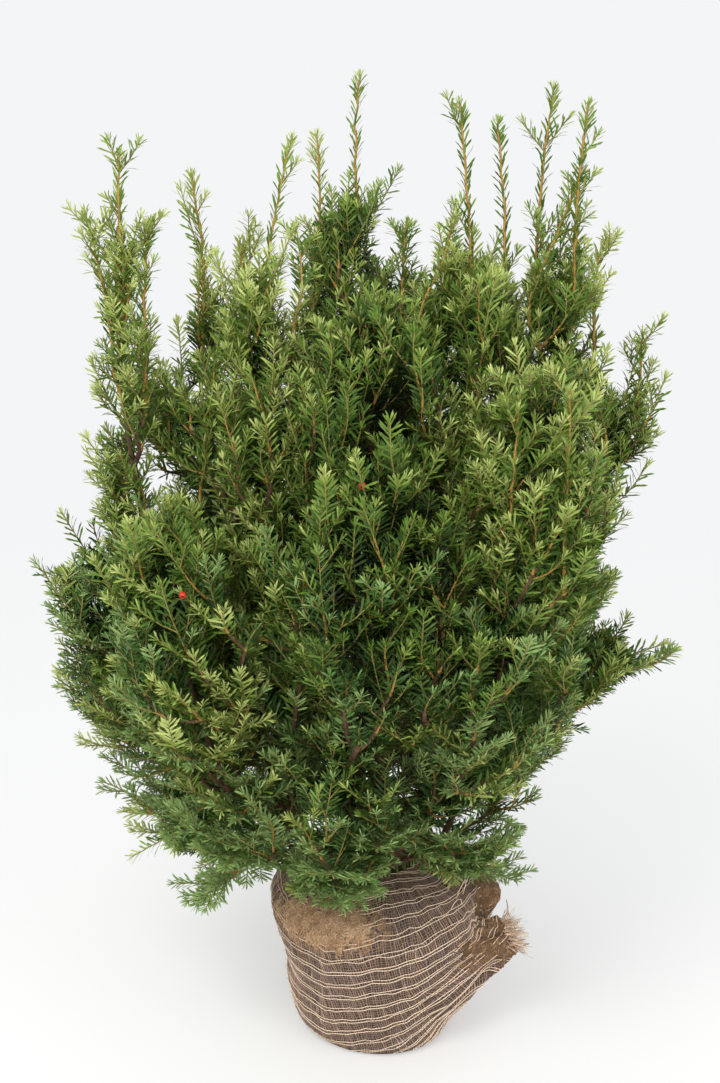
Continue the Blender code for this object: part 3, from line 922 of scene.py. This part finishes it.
def in_sky_gap(point):
    """How far inside a gap's edge a point stands as the camera sees it, or less than nothing beside it."""
    share = -CAMERA_PLACE.y / (point.y - CAMERA_PLACE.y)
    across = CAMERA_PLACE.x + (point.x - CAMERA_PLACE.x) * share
    height = CAMERA_PLACE.z + (point.z - CAMERA_PLACE.z) * share
    return max(radius - math.hypot(across - x, height - z) for x, z, radius in SKY_GAPS) + GAP_EDGE


def beyond_masses(point, reach=0.06):
    """How far a point stands out of all the masses, or less than nothing inside one."""
    return min((room.beyond(point) for room in rooms.values() if room.near(point, reach)), default=reach)


def beyond_crown(point):
    """How far a point stands out of the whole crown or into a gap, or less than nothing inside it."""
    return max(beyond_masses(point), in_sky_gap(point) * GAP_HARDNESS)


def search_tree(places):
    """A tree that finds the nearest of many places."""
    tree = KDTree(len(places))
    for number, place in enumerate(places):
        tree.insert(place, number)
    tree.balance()
    return tree


skin_places, skin_facings, skin_masses = [], [], []
for number, mass in enumerate(MASSES):
    places, facings = rooms[mass].skin(np.random.default_rng(300 + number))
    others = [room for name, room in rooms.items() if name != mass]
    for place, facing in zip(places, facings):
        spot = Vector(place)
        if all(not room.near(spot, TOUCHING) or room.beyond(spot) > TOUCHING for room in others):
            skin_places.append(spot)
            skin_facings.append(Vector(facing))
            skin_masses.append(mass)
skin_tree = search_tree(skin_places)


def depth_in_crown(point):
    """How far a point lies under the crown's skin, or nothing when it stands out of it."""
    distance = skin_tree.find(point)[2]
    return distance if beyond_masses(point, reach=0.0) < 0 else 0.0


order = list(range(len(skin_places)))
random.Random(7).shuffle(order)
targets = []
taken = set()
for number in order:
    if number not in taken:
        targets.append(number)
        taken.update(found for _, found, _ in skin_tree.find_range(skin_places[number], SKIN_SPACING))


# Branches: one leader runs up through each mass, from the end of its bough to its top. Then a branch grows
# to each place on the skin. It turns up toward the light, the more the higher it stands, and it carries two
# ranks of side shoots near its end.
UNDERSIDE_SHARE = 0.35
LEADER_WAVER = 0.006
LEADER_CLOTHED = 0.16
BRANCH_SHORTEST = 0.050
BRANCH_LONGEST = 0.30
BRANCH_TRIES = 14
WRONG_WAY_COST = 4.0
BRANCH_STRAIGHT = 0.48
BRANCH_WAVER = 0.004
CLOTHED_LENGTH = 0.170
SIDE_SPACING = 0.0185
SIDE_ANGLE = math.radians(42)
SIDE_SHORTEST = 0.046
SIDE_LONGEST = 0.110
SIDE_GROWTH = 0.60
TIP_FREE = 0.014
SPRIG_STEPS = 3
SPRIG_REACH = (0.026, 0.046)
RAGGED = (-0.010, 0.026)
FREE = (1.0, 1.0)
HEADING_WAVER = 0.12
RISER_FACING = 0.10
RISER_HEIGHT = 0.55
RISER = (-0.030, 0.078)
GOLDEN_TURN = math.radians(137.5)
PAST_BOX = 0.008


def light_heading(place, facing):
    """The way a shoot points at its tip: out with the skin low and far out, and up high in the crown."""
    out = Vector((place.x - FORK.x, place.y - FORK.y, 0.0))
    height = (place.z - 0.30) / 0.60
    steepness = 0.60 + 1.75 * height - 4.0 * max(0.0, out.length - 0.27)
    steepness = min(3.2, max(0.0, steepness))
    outward = Vector((facing.x, facing.y, facing.z * 0.3)) + out.normalized() * 0.45
    return (outward.normalized() + UP * steepness).normalized()


def curve(start, turn, end, steps, bow, waves):
    """Points on a curve from a start to an end, drawn toward a turn, that waves less toward its end."""
    path = []
    for step in range(steps + 1):
        t = step / steps
        place = start * (1 - t) ** 2 + turn * 2 * t * (1 - t) + end * t**2
        path.append(place + bow * math.sin(math.pi * waves * t) * (1 - t))
    return path


def bent_path(start, end, heading, seeded):
    """A curve from a start to an end that arrives with a heading."""
    chord = (end - start).length
    turn = end - heading * chord * BRANCH_STRAIGHT
    steps = max(3, round(chord * 1.06 / STEP))
    return curve(start, turn, end, steps, waver(seeded, BRANCH_WAVER * chord / 0.15), 2)


def best_start(place, heading, shortest, longest):
    """The point of the wood from which a branch reaches a place by the shortest and straightest way."""
    away = np.array(place) - wood.places
    distance = np.linalg.norm(away, axis=1)
    straight = away @ np.array(heading) / np.maximum(distance, 1e-6)
    cost = distance * (1 + WRONG_WAY_COST * (1 - straight))
    cost[distance < shortest] = np.inf
    cost[distance > longest] += 10
    ranked = np.argsort(cost)[:BRANCH_TRIES]
    for number in ranked:
        start = Vector(wood.places[number])
        if all(beyond_crown(start.lerp(place, share)) < 0.010 for share in (0.4, 0.7)):
            return wood.owners[number]
    return wood.owners[ranked[0]]


def side_heading(heading, turn, angle):
    """A heading that leaves another at an angle, at a turn round it counted from its upper side."""
    above = UP - heading * heading.z
    above = above.normalized() if above.length > 0.05 else Vector((0.0, -1.0, 0.0))
    beside = heading.cross(above)
    outward = above * math.cos(turn) + beside * math.sin(turn)
    return (heading * math.cos(angle) + outward * math.sin(angle)).normalized()


def held_in(point):
    """The same point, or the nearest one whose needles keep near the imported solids' own box."""
    low, high = cad_box
    across = min(max(point.x, low[0] - PAST_BOX), high[0] + PAST_BOX)
    return Vector((across, min(max(point.y, low[1]), high[1]), point.z))


def grow(seeded, start, heading, reach, upturn, ragged):
    """A free shoot: it wavers, turns up, and stops at its reach or where it stands out of the crown."""
    points = [start]
    for _ in range(round(reach / STEP)):
        heading = (heading + UP * upturn + waver(seeded, 0.025)).normalized()
        ahead = points[-1] + heading * STEP
        if beyond_crown(ahead) > ragged or (held_in(ahead) - ahead).length > 0:
            break
        points.append(ahead)
    return points


def add_side_shoots(
    stem, seeded, clothed, longest=SIDE_LONGEST, spacing=SIDE_SPACING, ragged=RAGGED
):
    """Two ranks of side shoots along the end of a stem, shorter toward its tip, with sprigs on them."""
    total = stem.length()
    distance = max(0.012, total - clothed + seeded.uniform(0, spacing))
    side = seeded.choice((-1, 1))
    turn = seeded.uniform(0, 2 * math.pi)
    while distance < total - TIP_FREE:
        start, heading, joint = stem.at(distance)
        side = -side
        turn += GOLDEN_TURN
        flat_turn = side * math.radians(seeded.uniform(58, 112))
        around = turn if heading.z > 0.80 else flat_turn
        reach = min(longest, SIDE_SHORTEST + SIDE_GROWTH * (total - distance)) * seeded.uniform(0.75, 1.15)
        angle = SIDE_ANGLE * seeded.uniform(0.8, 1.2)
        upturn = 0.045 + 0.075 * min(1.0, max(0.0, (start.z - 0.30) / 0.5))
        points = grow(
            seeded, start, side_heading(heading, around, angle), reach, upturn, seeded.uniform(*ragged)
        )
        distance += spacing * seeded.uniform(0.75, 1.25)
        if len(points) < 3:
            continue
        shoot = Stem(points, "side", stem, joint, stem.mass, stem.spray, clothed=1.0)
        wood.add(shoot, open_end=len(points))
        for number in range(2, len(points) - 2, SPRIG_STEPS):
            outward = side_heading(shoot.at(number * STEP)[1], -side * math.radians(80), SIDE_ANGLE)
            sprig_reach, sprig_limit = seeded.uniform(*SPRIG_REACH), seeded.uniform(*ragged)
            sprig = grow(seeded, points[number], outward, sprig_reach, upturn, sprig_limit)
            side = -side
            if len(sprig) >= 3:
                twig = Stem(sprig, "side", shoot, number, stem.mass, stem.spray, clothed=1.0)
                wood.add(twig, open_end=len(sprig))


for number, mass in enumerate(MASSES):
    seeded = random.Random(1000 + number)
    room = rooms[mass]
    corners = [Vector(corner) for corner in room.corners]
    tip = max(corners, key=from_fork)
    middle = Vector(room.corners.mean(axis=0))
    tip = tip.lerp(middle, 0.03)
    heading = (tip - middle).normalized()
    owner, joint = best_start(middle, ((middle - FORK).normalized() + heading).normalized(), 0.02, 0.45)
    start = owner.points[joint]
    turn = middle * 2 - (start + tip) / 2
    steps = round(((tip - middle).length + (middle - start).length) / STEP)
    path = curve(start, turn, tip, steps, waver(seeded, LEADER_WAVER), 3)
    leader = wood.add(Stem(path, "branch", owner, joint, mass, number, clothed=LEADER_CLOTHED), open_end=5)
    add_side_shoots(leader, seeded, LEADER_CLOTHED, longest=0.07, spacing=0.016)

spray_count = len(MASSES)
targets.sort(key=lambda number: from_fork(skin_places[number]))
for number in targets:
    place, facing, mass = skin_places[number], skin_facings[number], skin_masses[number]
    seeded = random.Random(5000 + number)
    if (facing.z < -0.55 and seeded.random() > UNDERSIDE_SHARE) or in_sky_gap(place) > 0:
        continue
    heading = (light_heading(place, facing) + waver(seeded, HEADING_WAVER)).normalized()
    rises = facing.z > RISER_FACING and place.z > RISER_HEIGHT
    end = held_in(place + heading * seeded.uniform(*(RISER if rises else RAGGED)))
    toward = (heading + (place - FORK).normalized()).normalized()
    owner, joint = best_start(place, toward, BRANCH_SHORTEST, BRANCH_LONGEST)
    path = bent_path(owner.points[joint], end, heading, seeded)
    branch = Stem(path, "branch", owner, joint, mass, spray_count, clothed=CLOTHED_LENGTH)
    wood.add(branch, open_end=4)
    add_side_shoots(branch, seeded, CLOTHED_LENGTH)
    spray_count += 1


# Long sprays: a few branches reach farther out of the crown than the rest, on its left column, low on its
# left side and over the ball. Each carries short side shoots and ends where the photograph shows its tip.
LONG_SPRAYS = (
    ("mass_left_low", (-0.348, -0.030, 0.380)),
    ("mass_left_low", (-0.374, -0.010, 0.355)),
    ("mass_left_low", (-0.402, -0.010, 0.420)),
    ("mass_left_skirt", (-0.263, -0.080, 0.225)),
    ("mass_left_skirt", (-0.244, -0.060, 0.235)),
    ("mass_foot_left", (-0.117, -0.140, 0.277)),
    ("mass_foot_left", (-0.096, -0.150, 0.289)),
    ("mass_foot_right", (0.163, -0.100, 0.280)),
    ("mass_foot_right", (0.181, -0.080, 0.256)),
    ("mass_foot_right", (0.124, -0.130, 0.298)),
    ("mass_foot_right", (0.150, -0.120, 0.315)),
    ("mass_centre_upper", (-0.107, 0.000, 1.089)),
    ("mass_right_inner", (0.083, 0.000, 1.113)),
    ("mass_left_column", (-0.330, -0.020, 0.831)),
    ("mass_left_column", (-0.315, -0.010, 0.800)),
    ("mass_left_column", (-0.344, 0.000, 0.766)),
    ("mass_left_column", (-0.324, -0.020, 0.737)),
    ("mass_left_column", (-0.303, -0.060, 0.798)),
    ("mass_left_column", (-0.301, -0.070, 0.768)),
    ("mass_left_column", (-0.354, -0.020, 0.802)),
)
for number, (mass, end) in enumerate(LONG_SPRAYS):
    seeded = random.Random(7000 + number)
    end = Vector(end)
    heading = light_heading(end, (end - FORK).normalized())
    owner, joint = best_start(end, heading, 0.07, BRANCH_LONGEST)
    path = bent_path(owner.points[joint], end, heading, seeded)
    branch = Stem(path, "branch", owner, joint, mass, spray_count, clothed=CLOTHED_LENGTH)
    wood.add(branch, open_end=len(path))
    add_side_shoots(branch, seeded, 0.08, longest=0.034, ragged=FREE)
    spray_count += 1


# Leading shoots: this summer's growth stands out of the top of the crown. Each is a thin golden stem with
# needles all round it and a brush of them at its tip, and some carry short side tufts.
ROOTED = 0.07
LEAFY_LEADERS = ("shoot_left_outer", "shoot_left_column_inner", "shoot_right_side")
# The side tufts of each shoot: how far up it they start, how much they lean across, and their length.
TUFTS = {
    "shoot_left_column": ((0.88, -0.45, 0.035), (0.84, 1.0, 0.046), (0.50, -0.8, 0.025)),
    "shoot_left_upper": ((0.35, -0.35, 0.088), (0.70, 0.7, 0.026), (0.60, -0.8, 0.024)),
    "shoot_left_inner": ((0.72, 0.9, 0.034),),
    "shoot_centre_left": ((0.75, -0.7, 0.026), (0.20, -0.9, 0.035)),
    "shoot_right_inner": ((0.86, -0.6, 0.046), (0.35, -0.6, 0.045)),
    "shoot_right_middle": ((0.20, 0.5, 0.035),),
    "shoot_right_top": ((0.72, -1.0, 0.046), (0.74, 1.0, 0.044), (0.30, 0.7, 0.060)),
    "shoot_right_outer": (
        (0.74, 0.8, 0.034), (0.58, -0.9, 0.024), (0.56, 0.9, 0.030), (0.30, -0.6, 0.040),
    ),
}
for number, name in enumerate(LEADING):
    seeded = random.Random(8000 + number)
    line = along(centre_line(name))[:-1]
    tip = line[-1]
    heading = (line[1] - line[0]).normalized()
    owner, joint = best_start(line[0], heading, ROOTED, 0.30)
    foot = bent_path(owner.points[joint], line[0], heading, seeded)
    path = [point + waver(seeded, 0.0007) for point in foot + line[1:]]
    visible = (tip - line[0]).length
    leafy = name in LEAFY_LEADERS
    clothed, sparse = (0.16, 0.0) if leafy else (visible + 0.05, 0.15)
    leader = Stem(path, "golden", owner, joint, name, spray_count, clothed, sparse)
    wood.add(leader, open_end=len(path))
    if leafy:
        add_side_shoots(leader, seeded, 0.13, longest=0.042, spacing=0.020, ragged=FREE)
    total = leader.length()
    for share, across, reach in TUFTS.get(name, ()):
        start, _, at_point = leader.at(total - visible * (1 - share))
        heading = Vector((across, seeded.uniform(-0.3, 0.3), 1.0)).normalized()
        points = grow(seeded, start, heading, reach, 0.07, FREE[0])
        if len(points) >= 3:
            tuft = Stem(points, "side", leader, at_point, name, spray_count, clothed=1.0)
            wood.add(tuft, open_end=len(points))
    spray_count += 1


# Golden leaders: a few strong young shoots stand up in front of the crown and at its edges, clear of the
# side shoots. Each is rooted in its mass, so it slides back along the line of sight until its foot is in.
GOLDEN_LEADERS = (
    ("mass_right_front", (0.136, -0.250, 0.815), (0.141, -0.255, 0.945)),
    ("mass_right_outer", (0.202, -0.210, 0.780), (0.200, -0.225, 0.940)),
    ("mass_left_front", (-0.212, -0.195, 0.800), (-0.185, -0.205, 0.990)),
    ("mass_left_column", (-0.308, -0.095, 0.760), (-0.303, -0.105, 1.055)),
    ("mass_left_inner", (-0.176, 0.050, 0.990), (-0.178, 0.050, 1.068)),
    ("mass_centre_back", (0.022, 0.100, 0.960), (0.027, 0.095, 1.082)),
    ("mass_right_outer", (0.325, 0.045, 0.850), (0.324, 0.045, 0.945)),
    ("mass_right_top", (0.179, 0.000, 1.009), (0.237, 0.020, 1.151)),
)
DEEPEST_FOOT = 0.10
for number, (mass, foot, tip) in enumerate(GOLDEN_LEADERS):
    seeded = random.Random(9000 + number)
    foot, tip = Vector(foot), Vector(tip)
    sight = (foot - CAMERA_PLACE).normalized()
    while beyond_crown(foot) > -0.004 and foot.y < DEEPEST_FOOT:
        foot += sight * 0.005
        tip += sight * 0.005
    heading = (tip - foot).normalized()
    owner, joint = best_start(foot, heading, 0.04, 0.30)
    lead_in = bent_path(owner.points[joint], foot, heading, seeded)
    path = [point + waver(seeded, 0.0006) for point in lead_in + along([foot, tip])[1:]]
    leader = Stem(path, "golden", owner, joint, mass, spray_count, clothed=1.0)
    wood.add(leader, open_end=len(path))
    add_side_shoots(leader, seeded, leader.length() * 0.8, longest=0.046, spacing=0.026, ragged=FREE)
    spray_count += 1


# Twigs: round tapering stems along the branches and shoots, brown where they are old and green at the tips.
# Every stem carries the shoots that start from it, and a branch is as thick as their number asks.
for stem in reversed(wood.stems):
    stem.load[-1] += 1
    stem.load = np.cumsum(stem.load[::-1])[::-1]
    if stem.parent is not None:
        stem.parent.load[stem.joint] += stem.load[0]

TIP_THICKNESS = 0.00085
THICKENING = 0.38
SIDE_TAPER = (1.35, 0.80)
GOLDEN_THICKNESS = (0.0025, 0.0012)
OLD_BARK, BRANCH_BARK, GOLDEN_TWIG = 0.0030, 0.0017, 0.0010
TWIG_GROUPS = ("left_low", "left_high", "centre", "right", "back_low", "back_high", "leading")
GROUP_STARTS = {
    "shoot": "leading",
    "mass_left_low": "left_low", "mass_left_skirt": "left_low", "mass_left_outer": "left_low",
    "mass_left_front": "left_low", "mass_left": "left_high", "mass_centre": "centre",
    "mass_foot": "centre", "mass_right": "right", "mass_back_low": "back_low", "mass_back": "back_high",
}
WOOD_SIDES = {"branch": 5, "golden": 6, "side": 3}
TWIG_COLOURS = {
    "old twig bark": (0.085, 0.045, 0.026),
    "branch bark": (0.130, 0.070, 0.034),
    "golden twig": (0.400, 0.225, 0.052),
    "green shoot": (0.270, 0.225, 0.060),
}


def group_of(mass):
    """The part of the crown that a mass or a leading shoot belongs to."""
    return next(group for start, group in GROUP_STARTS.items() if mass.startswith(start))


def stem_line(stem):
    """The points of a stem, its thickness at each, and the number of each one's finish."""
    if stem.kind == "side":
        line = stem.points[:-1:2] + stem.points[-1:]
        return line, np.linspace(*SIDE_TAPER, len(line)) * TIP_THICKNESS, np.full(len(line), 3)
    if stem.kind == "golden":
        count = len(stem.points)
        return stem.points, np.linspace(*GOLDEN_THICKNESS, count), np.full(count, 2)
    thick = TIP_THICKNESS * np.maximum(stem.load, 1.0) ** THICKENING
    age = np.select([thick > OLD_BARK, thick > BRANCH_BARK, thick > GOLDEN_TWIG], [0, 1, 2], 3)
    return stem.points, thick, age


twig_tree = stem_tree([plain_finish(name, colour, 0.72) for name, colour in TWIG_COLOURS.items()])
for group in TWIG_GROUPS:
    for kind, sides in WOOD_SIDES.items():
        stems = [stem for stem in wood.stems if stem.kind == kind and group_of(stem.mass) == group]
        if not stems:
            continue
        plan = path_mesh(f"{kind}_plan", *zip(*map(stem_line, stems)))
        twigs = make_piece(f"{kind}_twigs_{group}", plan, twig_tree, {"Sides": sides})
        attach(twigs, "root")


# Needles: flat blades with a short stalk and a point, all round an upright shoot and in two ranks along a
# level one. Each spray has its own green, and its tip and the crown's tops are the freshest. The deeper a
# needle lies in the crown, the darker it is painted, as painted shade, and the low needles are lifted as
# painted light.
NEEDLE_SPACING = 0.0020
NEEDLE_LENGTH = 0.0205
NEEDLE_WIDTH = 0.0030
ROSETTE = 6
ROSETTE_REACH = 0.004
DEEPEST_NEEDLE = (0.072, 0.128)
DEEP_FROM = 0.030
DEEP_GROWTH = 14.0
NEEDLE_OUTLINE = (
    (0.0, 0.26, 0.0), (0.0, -0.26, 0.0), (0.74, -0.48, 0.0), (0.74, 0.48, 0.0), (1.0, 0.0, -0.05),
)
NEEDLE_FACES = ((0, 1, 2), (0, 2, 3), (3, 2, 4))
FLATNESS = {"side": 0.66, "branch": 0.50, "golden": 0.0}
UPRIGHT_HEIGHTS = (0.42, 0.72)
UPRIGHT_FLATNESS = (1.15, 0.50)
RANK_TURN = math.radians(78)
NEEDLE_LEAN = {"side": 54, "branch": 50, "golden": 33}
TIP_LEAN = {"side": -16, "branch": -16, "golden": 10}
TIP_LEAN_REACH = 0.015
ROSETTE_LEAN = (8, 42)
GOLDEN_SHORTER = 0.92
BRUSH_LENGTH = 0.030
SHADE_WITH_DEPTH = 76
# Tint added by height: the large lift low down is painted light, and the rise at the top is fresh growth.
PAINTED_LIGHT_AND_FRESHNESS_BY_HEIGHT = ((0.15, 0.45, 0.70, 1.05), (4.4, 2.1, 0.30, 1.5))
# A tint shift for each part of the crown: the centre's darkening is painted shade, and the other shifts are
# nothing or lighten a part as a whole.
TINT_SHIFT_BY_GROUP = {
    "left_low": 0.30, "left_high": 0.75, "centre": -1.05, "right": 0.15, "back_low": 0.0, "back_high": 0.2,
    "leading": 0.1,
}
BLUE_HEIGHTS = ((0.35, 0.75), (0.90, 0.0))
BLUE_TINTS = (0, 1, 7, 7, 8, 9, 9)
NEEDLE_COLOURS = {
    # Painted shade: the near-black green of the needles deepest in the crown.
    "needles in painted shade deep inside": (0.009, 0.020, 0.004),
    "dark needles": (0.025, 0.050, 0.009),
    "bottle green needles": (0.049, 0.096, 0.016),
    "green needles": (0.086, 0.156, 0.024),
    "leaf green needles": (0.146, 0.234, 0.038),
    "light needles": (0.262, 0.348, 0.078),
    "fresh needles": (0.425, 0.490, 0.155),
    "blue green needles": (0.047, 0.103, 0.023),
    "light blue green needles": (0.120, 0.215, 0.057),
    "pale blue green needles": (0.240, 0.348, 0.118),
}

needle_mesh = bpy.data.meshes.new("needle")
needle_mesh.from_pydata(NEEDLE_OUTLINE, [], NEEDLE_FACES)
needle = bpy.data.objects.new("needle", needle_mesh)


def needle_tree(finishes):
    """One needle on each point of a mesh, turned and sized by the point's own values."""
    tree = new_tree(
        "needles on shoots",
        {"Needle": "NodeSocketObject", "Length": "NodeSocketFloat", "Width": "NodeSocketFloat"},
    )
    blade = node(
        tree, "GeometryNodeObjectInfo", inputs={"Object": entry(tree, "Needle")}, output="Geometry"
    )
    turned = node(
        tree, "FunctionNodeAxesToRotation", {"primary_axis": "X", "secondary_axis": "Z"},
        {0: named(tree, "way", "FLOAT_VECTOR"), 1: named(tree, "face", "FLOAT_VECTOR")},
    )
    size = named(tree, "size")
    length = size * entry(tree, "Length")
    scale = node(
        tree, "ShaderNodeCombineXYZ", inputs={0: length, 1: size * entry(tree, "Width"), 2: length}
    )
    placed = node(
        tree, "GeometryNodeInstanceOnPoints",
        inputs={"Points": entry(tree, "Geometry"), "Instance": blade, "Rotation": turned, "Scale": scale},
    )
    give_finishes(tree, placed, finishes, "tint")
    return tree


def needle_plan(name, stems, seeded):
    """The foot, heading, facing, size and green of every needle on some stems."""
    feet, ways, faces, sizes, tints = [], [], [], [], []
    for stem in stems:
        path = np.array([tuple(point) for point in stem.points])
        stretch = np.linalg.norm(np.diff(path, axis=0), axis=1)
        reach = np.concatenate([[0.0], np.cumsum(stretch)])
        total = reach[-1]
        first = 0.004 if stem.clothed >= 1 else max(0.004, total - stem.clothed)
        place_along = np.arange(first, total, NEEDLE_SPACING * (1 + stem.sparse))
        if stem.kind == "golden":
            brush = np.arange(total - BRUSH_LENGTH, total, NEEDLE_SPACING)
            place_along = np.concatenate([place_along, brush])
        place_along = np.concatenate([place_along, np.zeros(ROSETTE)])
        count = len(place_along)
        place_along = np.clip(place_along + seeded.normal(0, 0.0002, count), 0, total)
        place_along[-ROSETTE:] = total - ROSETTE_REACH * seeded.random(ROSETTE)
        tuft = np.arange(count) >= count - ROSETTE
        place = np.stack([np.interp(place_along, reach, path[:, axis]) for axis in range(3)], 1)
        slope = np.gradient(path, axis=0)
        ahead = np.stack([np.interp(place_along, reach, slope[:, axis]) for axis in range(3)], 1)
        ahead /= np.linalg.norm(ahead, axis=1)[:, None]
        above = np.array((0.02, -0.06, 1.0)) - ahead * ahead[:, 2:3]
        above -= ahead * (above * ahead).sum(1)[:, None]
        above /= np.linalg.norm(above, axis=1)[:, None]
        beside = np.cross(ahead, above)
        spiral = turned_from(np.arange(count) * GOLDEN_TURN + seeded.uniform(0, 6.28), math.pi)
        flat = FLATNESS[stem.kind] * np.interp(place[:, 2], UPRIGHT_HEIGHTS, UPRIGHT_FLATNESS)
        ranks = np.where(spiral > 0, RANK_TURN, -RANK_TURN)
        flat = np.where(tuft, 0.0, flat)
        turn = spiral * (1 - flat) + ranks * flat + seeded.normal(0, 0.10, count)
        to_tip = total - place_along
        lean = NEEDLE_LEAN[stem.kind] + seeded.normal(0, 7, count)
        lean += TIP_LEAN[stem.kind] * np.exp(-to_tip / TIP_LEAN_REACH)
        lean = np.radians(np.where(tuft, seeded.uniform(*ROSETTE_LEAN, count), lean))
        outward = above * np.cos(turn)[:, None] + beside * np.sin(turn)[:, None]
        way = ahead * np.cos(lean)[:, None] + outward * np.sin(lean)[:, None]
        out = place - np.array(FORK) * (1, 1, 0)
        out[:, 2] = 0.35
        outer = np.sign((above * out).sum(1))[:, None]
        face = above * outer * (0.20 + flat)[:, None] + ahead * (0.75 - 0.35 * flat)[:, None]
        face += outward * (0.30 * (1 - flat))[:, None] + seeded.normal(0, 0.20, (count, 3))
        face -= way * (face * way).sum(1)[:, None]
        face /= np.linalg.norm(face, axis=1)[:, None]
        size = seeded.uniform(0.86, 1.10, count) * (0.62 + 0.38 * np.clip(to_tip / 0.016, 0, 1))
        size *= np.clip(0.55 + place_along / 0.02, 0.55, 1.0)
        size *= GOLDEN_SHORTER if stem.kind == "golden" else 1.0
        depth = np.array([depth_in_crown(Vector(spot)) for spot in place[::4]]).repeat(4)[:count]
        if "golden" in (stem.kind, stem.parent.kind):
            depth[:] = 0.0
        kept = depth < seeded.uniform(*DEEPEST_NEEDLE, count)
        size *= 1 + DEEP_GROWTH * np.clip(depth - DEEP_FROM, 0, 0.07)
        own = random.Random(stem.spray)
        # The base tint: the spray's own green, with painted light low down and fresh growth at the top.
        base = 2.0 + own.uniform(-0.9, 0.9) + np.interp(place[:, 2], *PAINTED_LIGHT_AND_FRESHNESS_BY_HEIGHT)
        tip_light = 1.1 * np.exp(-to_tip / 0.012) + 2.2 * np.exp(-to_tip / 0.050)
        # Painted shade: the centre of the crown is shifted darker, and the other parts are shifted as the
        # table gives.
        base += TINT_SHIFT_BY_GROUP[group_of(stem.mass)]
        tint = base + tip_light * own.uniform(0.5, 1.2) + 0.3 * tuft - SHADE_WITH_DEPTH * depth
        tint = np.clip(np.round(tint + seeded.uniform(-0.8, 0.8, count)), 0, 6)
        if own.random() < np.interp(place[0, 2], *BLUE_HEIGHTS):
            tint = np.array(BLUE_TINTS)[tint.astype(int)]
        for collected, values in zip((feet, ways, faces, sizes, tints), (place, way, face, size, tint)):
            collected.append(values[kept])
    feet, ways, faces, sizes, tints = map(np.concatenate, (feet, ways, faces, sizes, tints))
    mesh = bpy.data.meshes.new(name)
    mesh.vertices.add(len(feet))
    mesh.vertices.foreach_set("co", feet.astype(np.float32).ravel())
    for label, values in (("way", ways), ("face", faces)):
        made = mesh.attributes.new(label, "FLOAT_VECTOR", "POINT")
        made.data.foreach_set("vector", values.astype(np.float32).ravel())
    mesh.attributes.new("size", "FLOAT", "POINT").data.foreach_set("value", sizes.astype(np.float32))
    mesh.attributes.new("tint", "INT", "POINT").data.foreach_set("value", tints.astype(np.int32))
    return mesh


spray_tree = needle_tree(
    [plain_finish(name, colour, 0.38, gloss=0.18) for name, colour in NEEDLE_COLOURS.items()]
)
needle_inputs = {"Needle": needle, "Length": NEEDLE_LENGTH, "Width": NEEDLE_WIDTH}
for number, group in enumerate(TWIG_GROUPS):
    stems = [stem for stem in wood.stems if stem.clothed and group_of(stem.mass) == group]
    plan = needle_plan(f"needle_plan_{group}", stems, np.random.default_rng(50 + number))
    needles = make_piece(f"needles_{group}", plan, spray_tree, needle_inputs)
    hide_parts(*[name for name in MASSES + LEADING if group_of(name) == group])
    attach(needles, "root")


# Fruit: three ripe arils, each a soft red cup open at its end round a dark seed. They sit close under side
# shoots at the front of the crown.
ARILS = ((0.189, -0.100, 0.449), (-0.228, -0.180, 0.702), (-0.038, -0.220, 0.864))
ARIL_RADIUS = 0.0042
ARIL_SEARCH = 0.035
ARIL_TURNS = 16
ARIL_PROFILE = ((0.0, -1.0), (0.55, -0.84), (0.90, -0.42), (1.0, 0.05), (0.92, 0.50), (0.70, 0.80),
                (0.50, 0.78), (0.42, 0.45))
SEED_PROFILE = ((0.42, 0.45), (0.38, 0.62), (0.22, 0.74), (0.0, 0.78))


def turned_shape(name, profile, finish):
    """A round shape, turned from pairs of radius and height, at each aril's place."""
    corners, faces = [], []
    for place, axis in aril_places:
        across = axis.orthogonal().normalized()
        beside = axis.cross(across)
        first = len(corners)
        for radius, height in profile:
            for turn in np.linspace(0, 2 * math.pi, ARIL_TURNS, endpoint=False):
                outward = (across * math.cos(turn) + beside * math.sin(turn)) * max(radius, 0.001)
                corners.append(place + (outward + axis * height) * ARIL_RADIUS)
        for ring in range(len(profile) - 1):
            for step in range(ARIL_TURNS):
                low, high = first + ring * ARIL_TURNS, first + (ring + 1) * ARIL_TURNS
                ahead = (step + 1) % ARIL_TURNS
                faces.append((low + step, low + ahead, high + ahead, high + step))
    mesh = bpy.data.meshes.new(name)
    mesh.from_pydata(corners, [], faces)
    mesh.shade_smooth()
    mesh.materials.append(finish)
    piece = new_object(name, mesh)
    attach(piece, "root")


shoot_tree = search_tree([point for stem in wood.stems if stem.kind == "side" for point in stem.points])
aril_places = []
for place in ARILS:
    near = shoot_tree.find_range(Vector(place), ARIL_SEARCH)
    point = min((found for found, _, _ in near), key=lambda found: found.y)
    toward = (CAMERA_PLACE - point).normalized()
    axis = (toward - UP * 0.8).normalized()
    aril_places.append((point + toward * 0.006 - UP * 0.004, axis))
turned_shape("aril_cups", ARIL_PROFILE, plain_finish("ripe aril", (0.62, 0.035, 0.020), 0.35, gloss=0.4))
turned_shape("aril_seeds", SEED_PROFILE, plain_finish("yew seed", (0.045, 0.050, 0.018), 0.5))
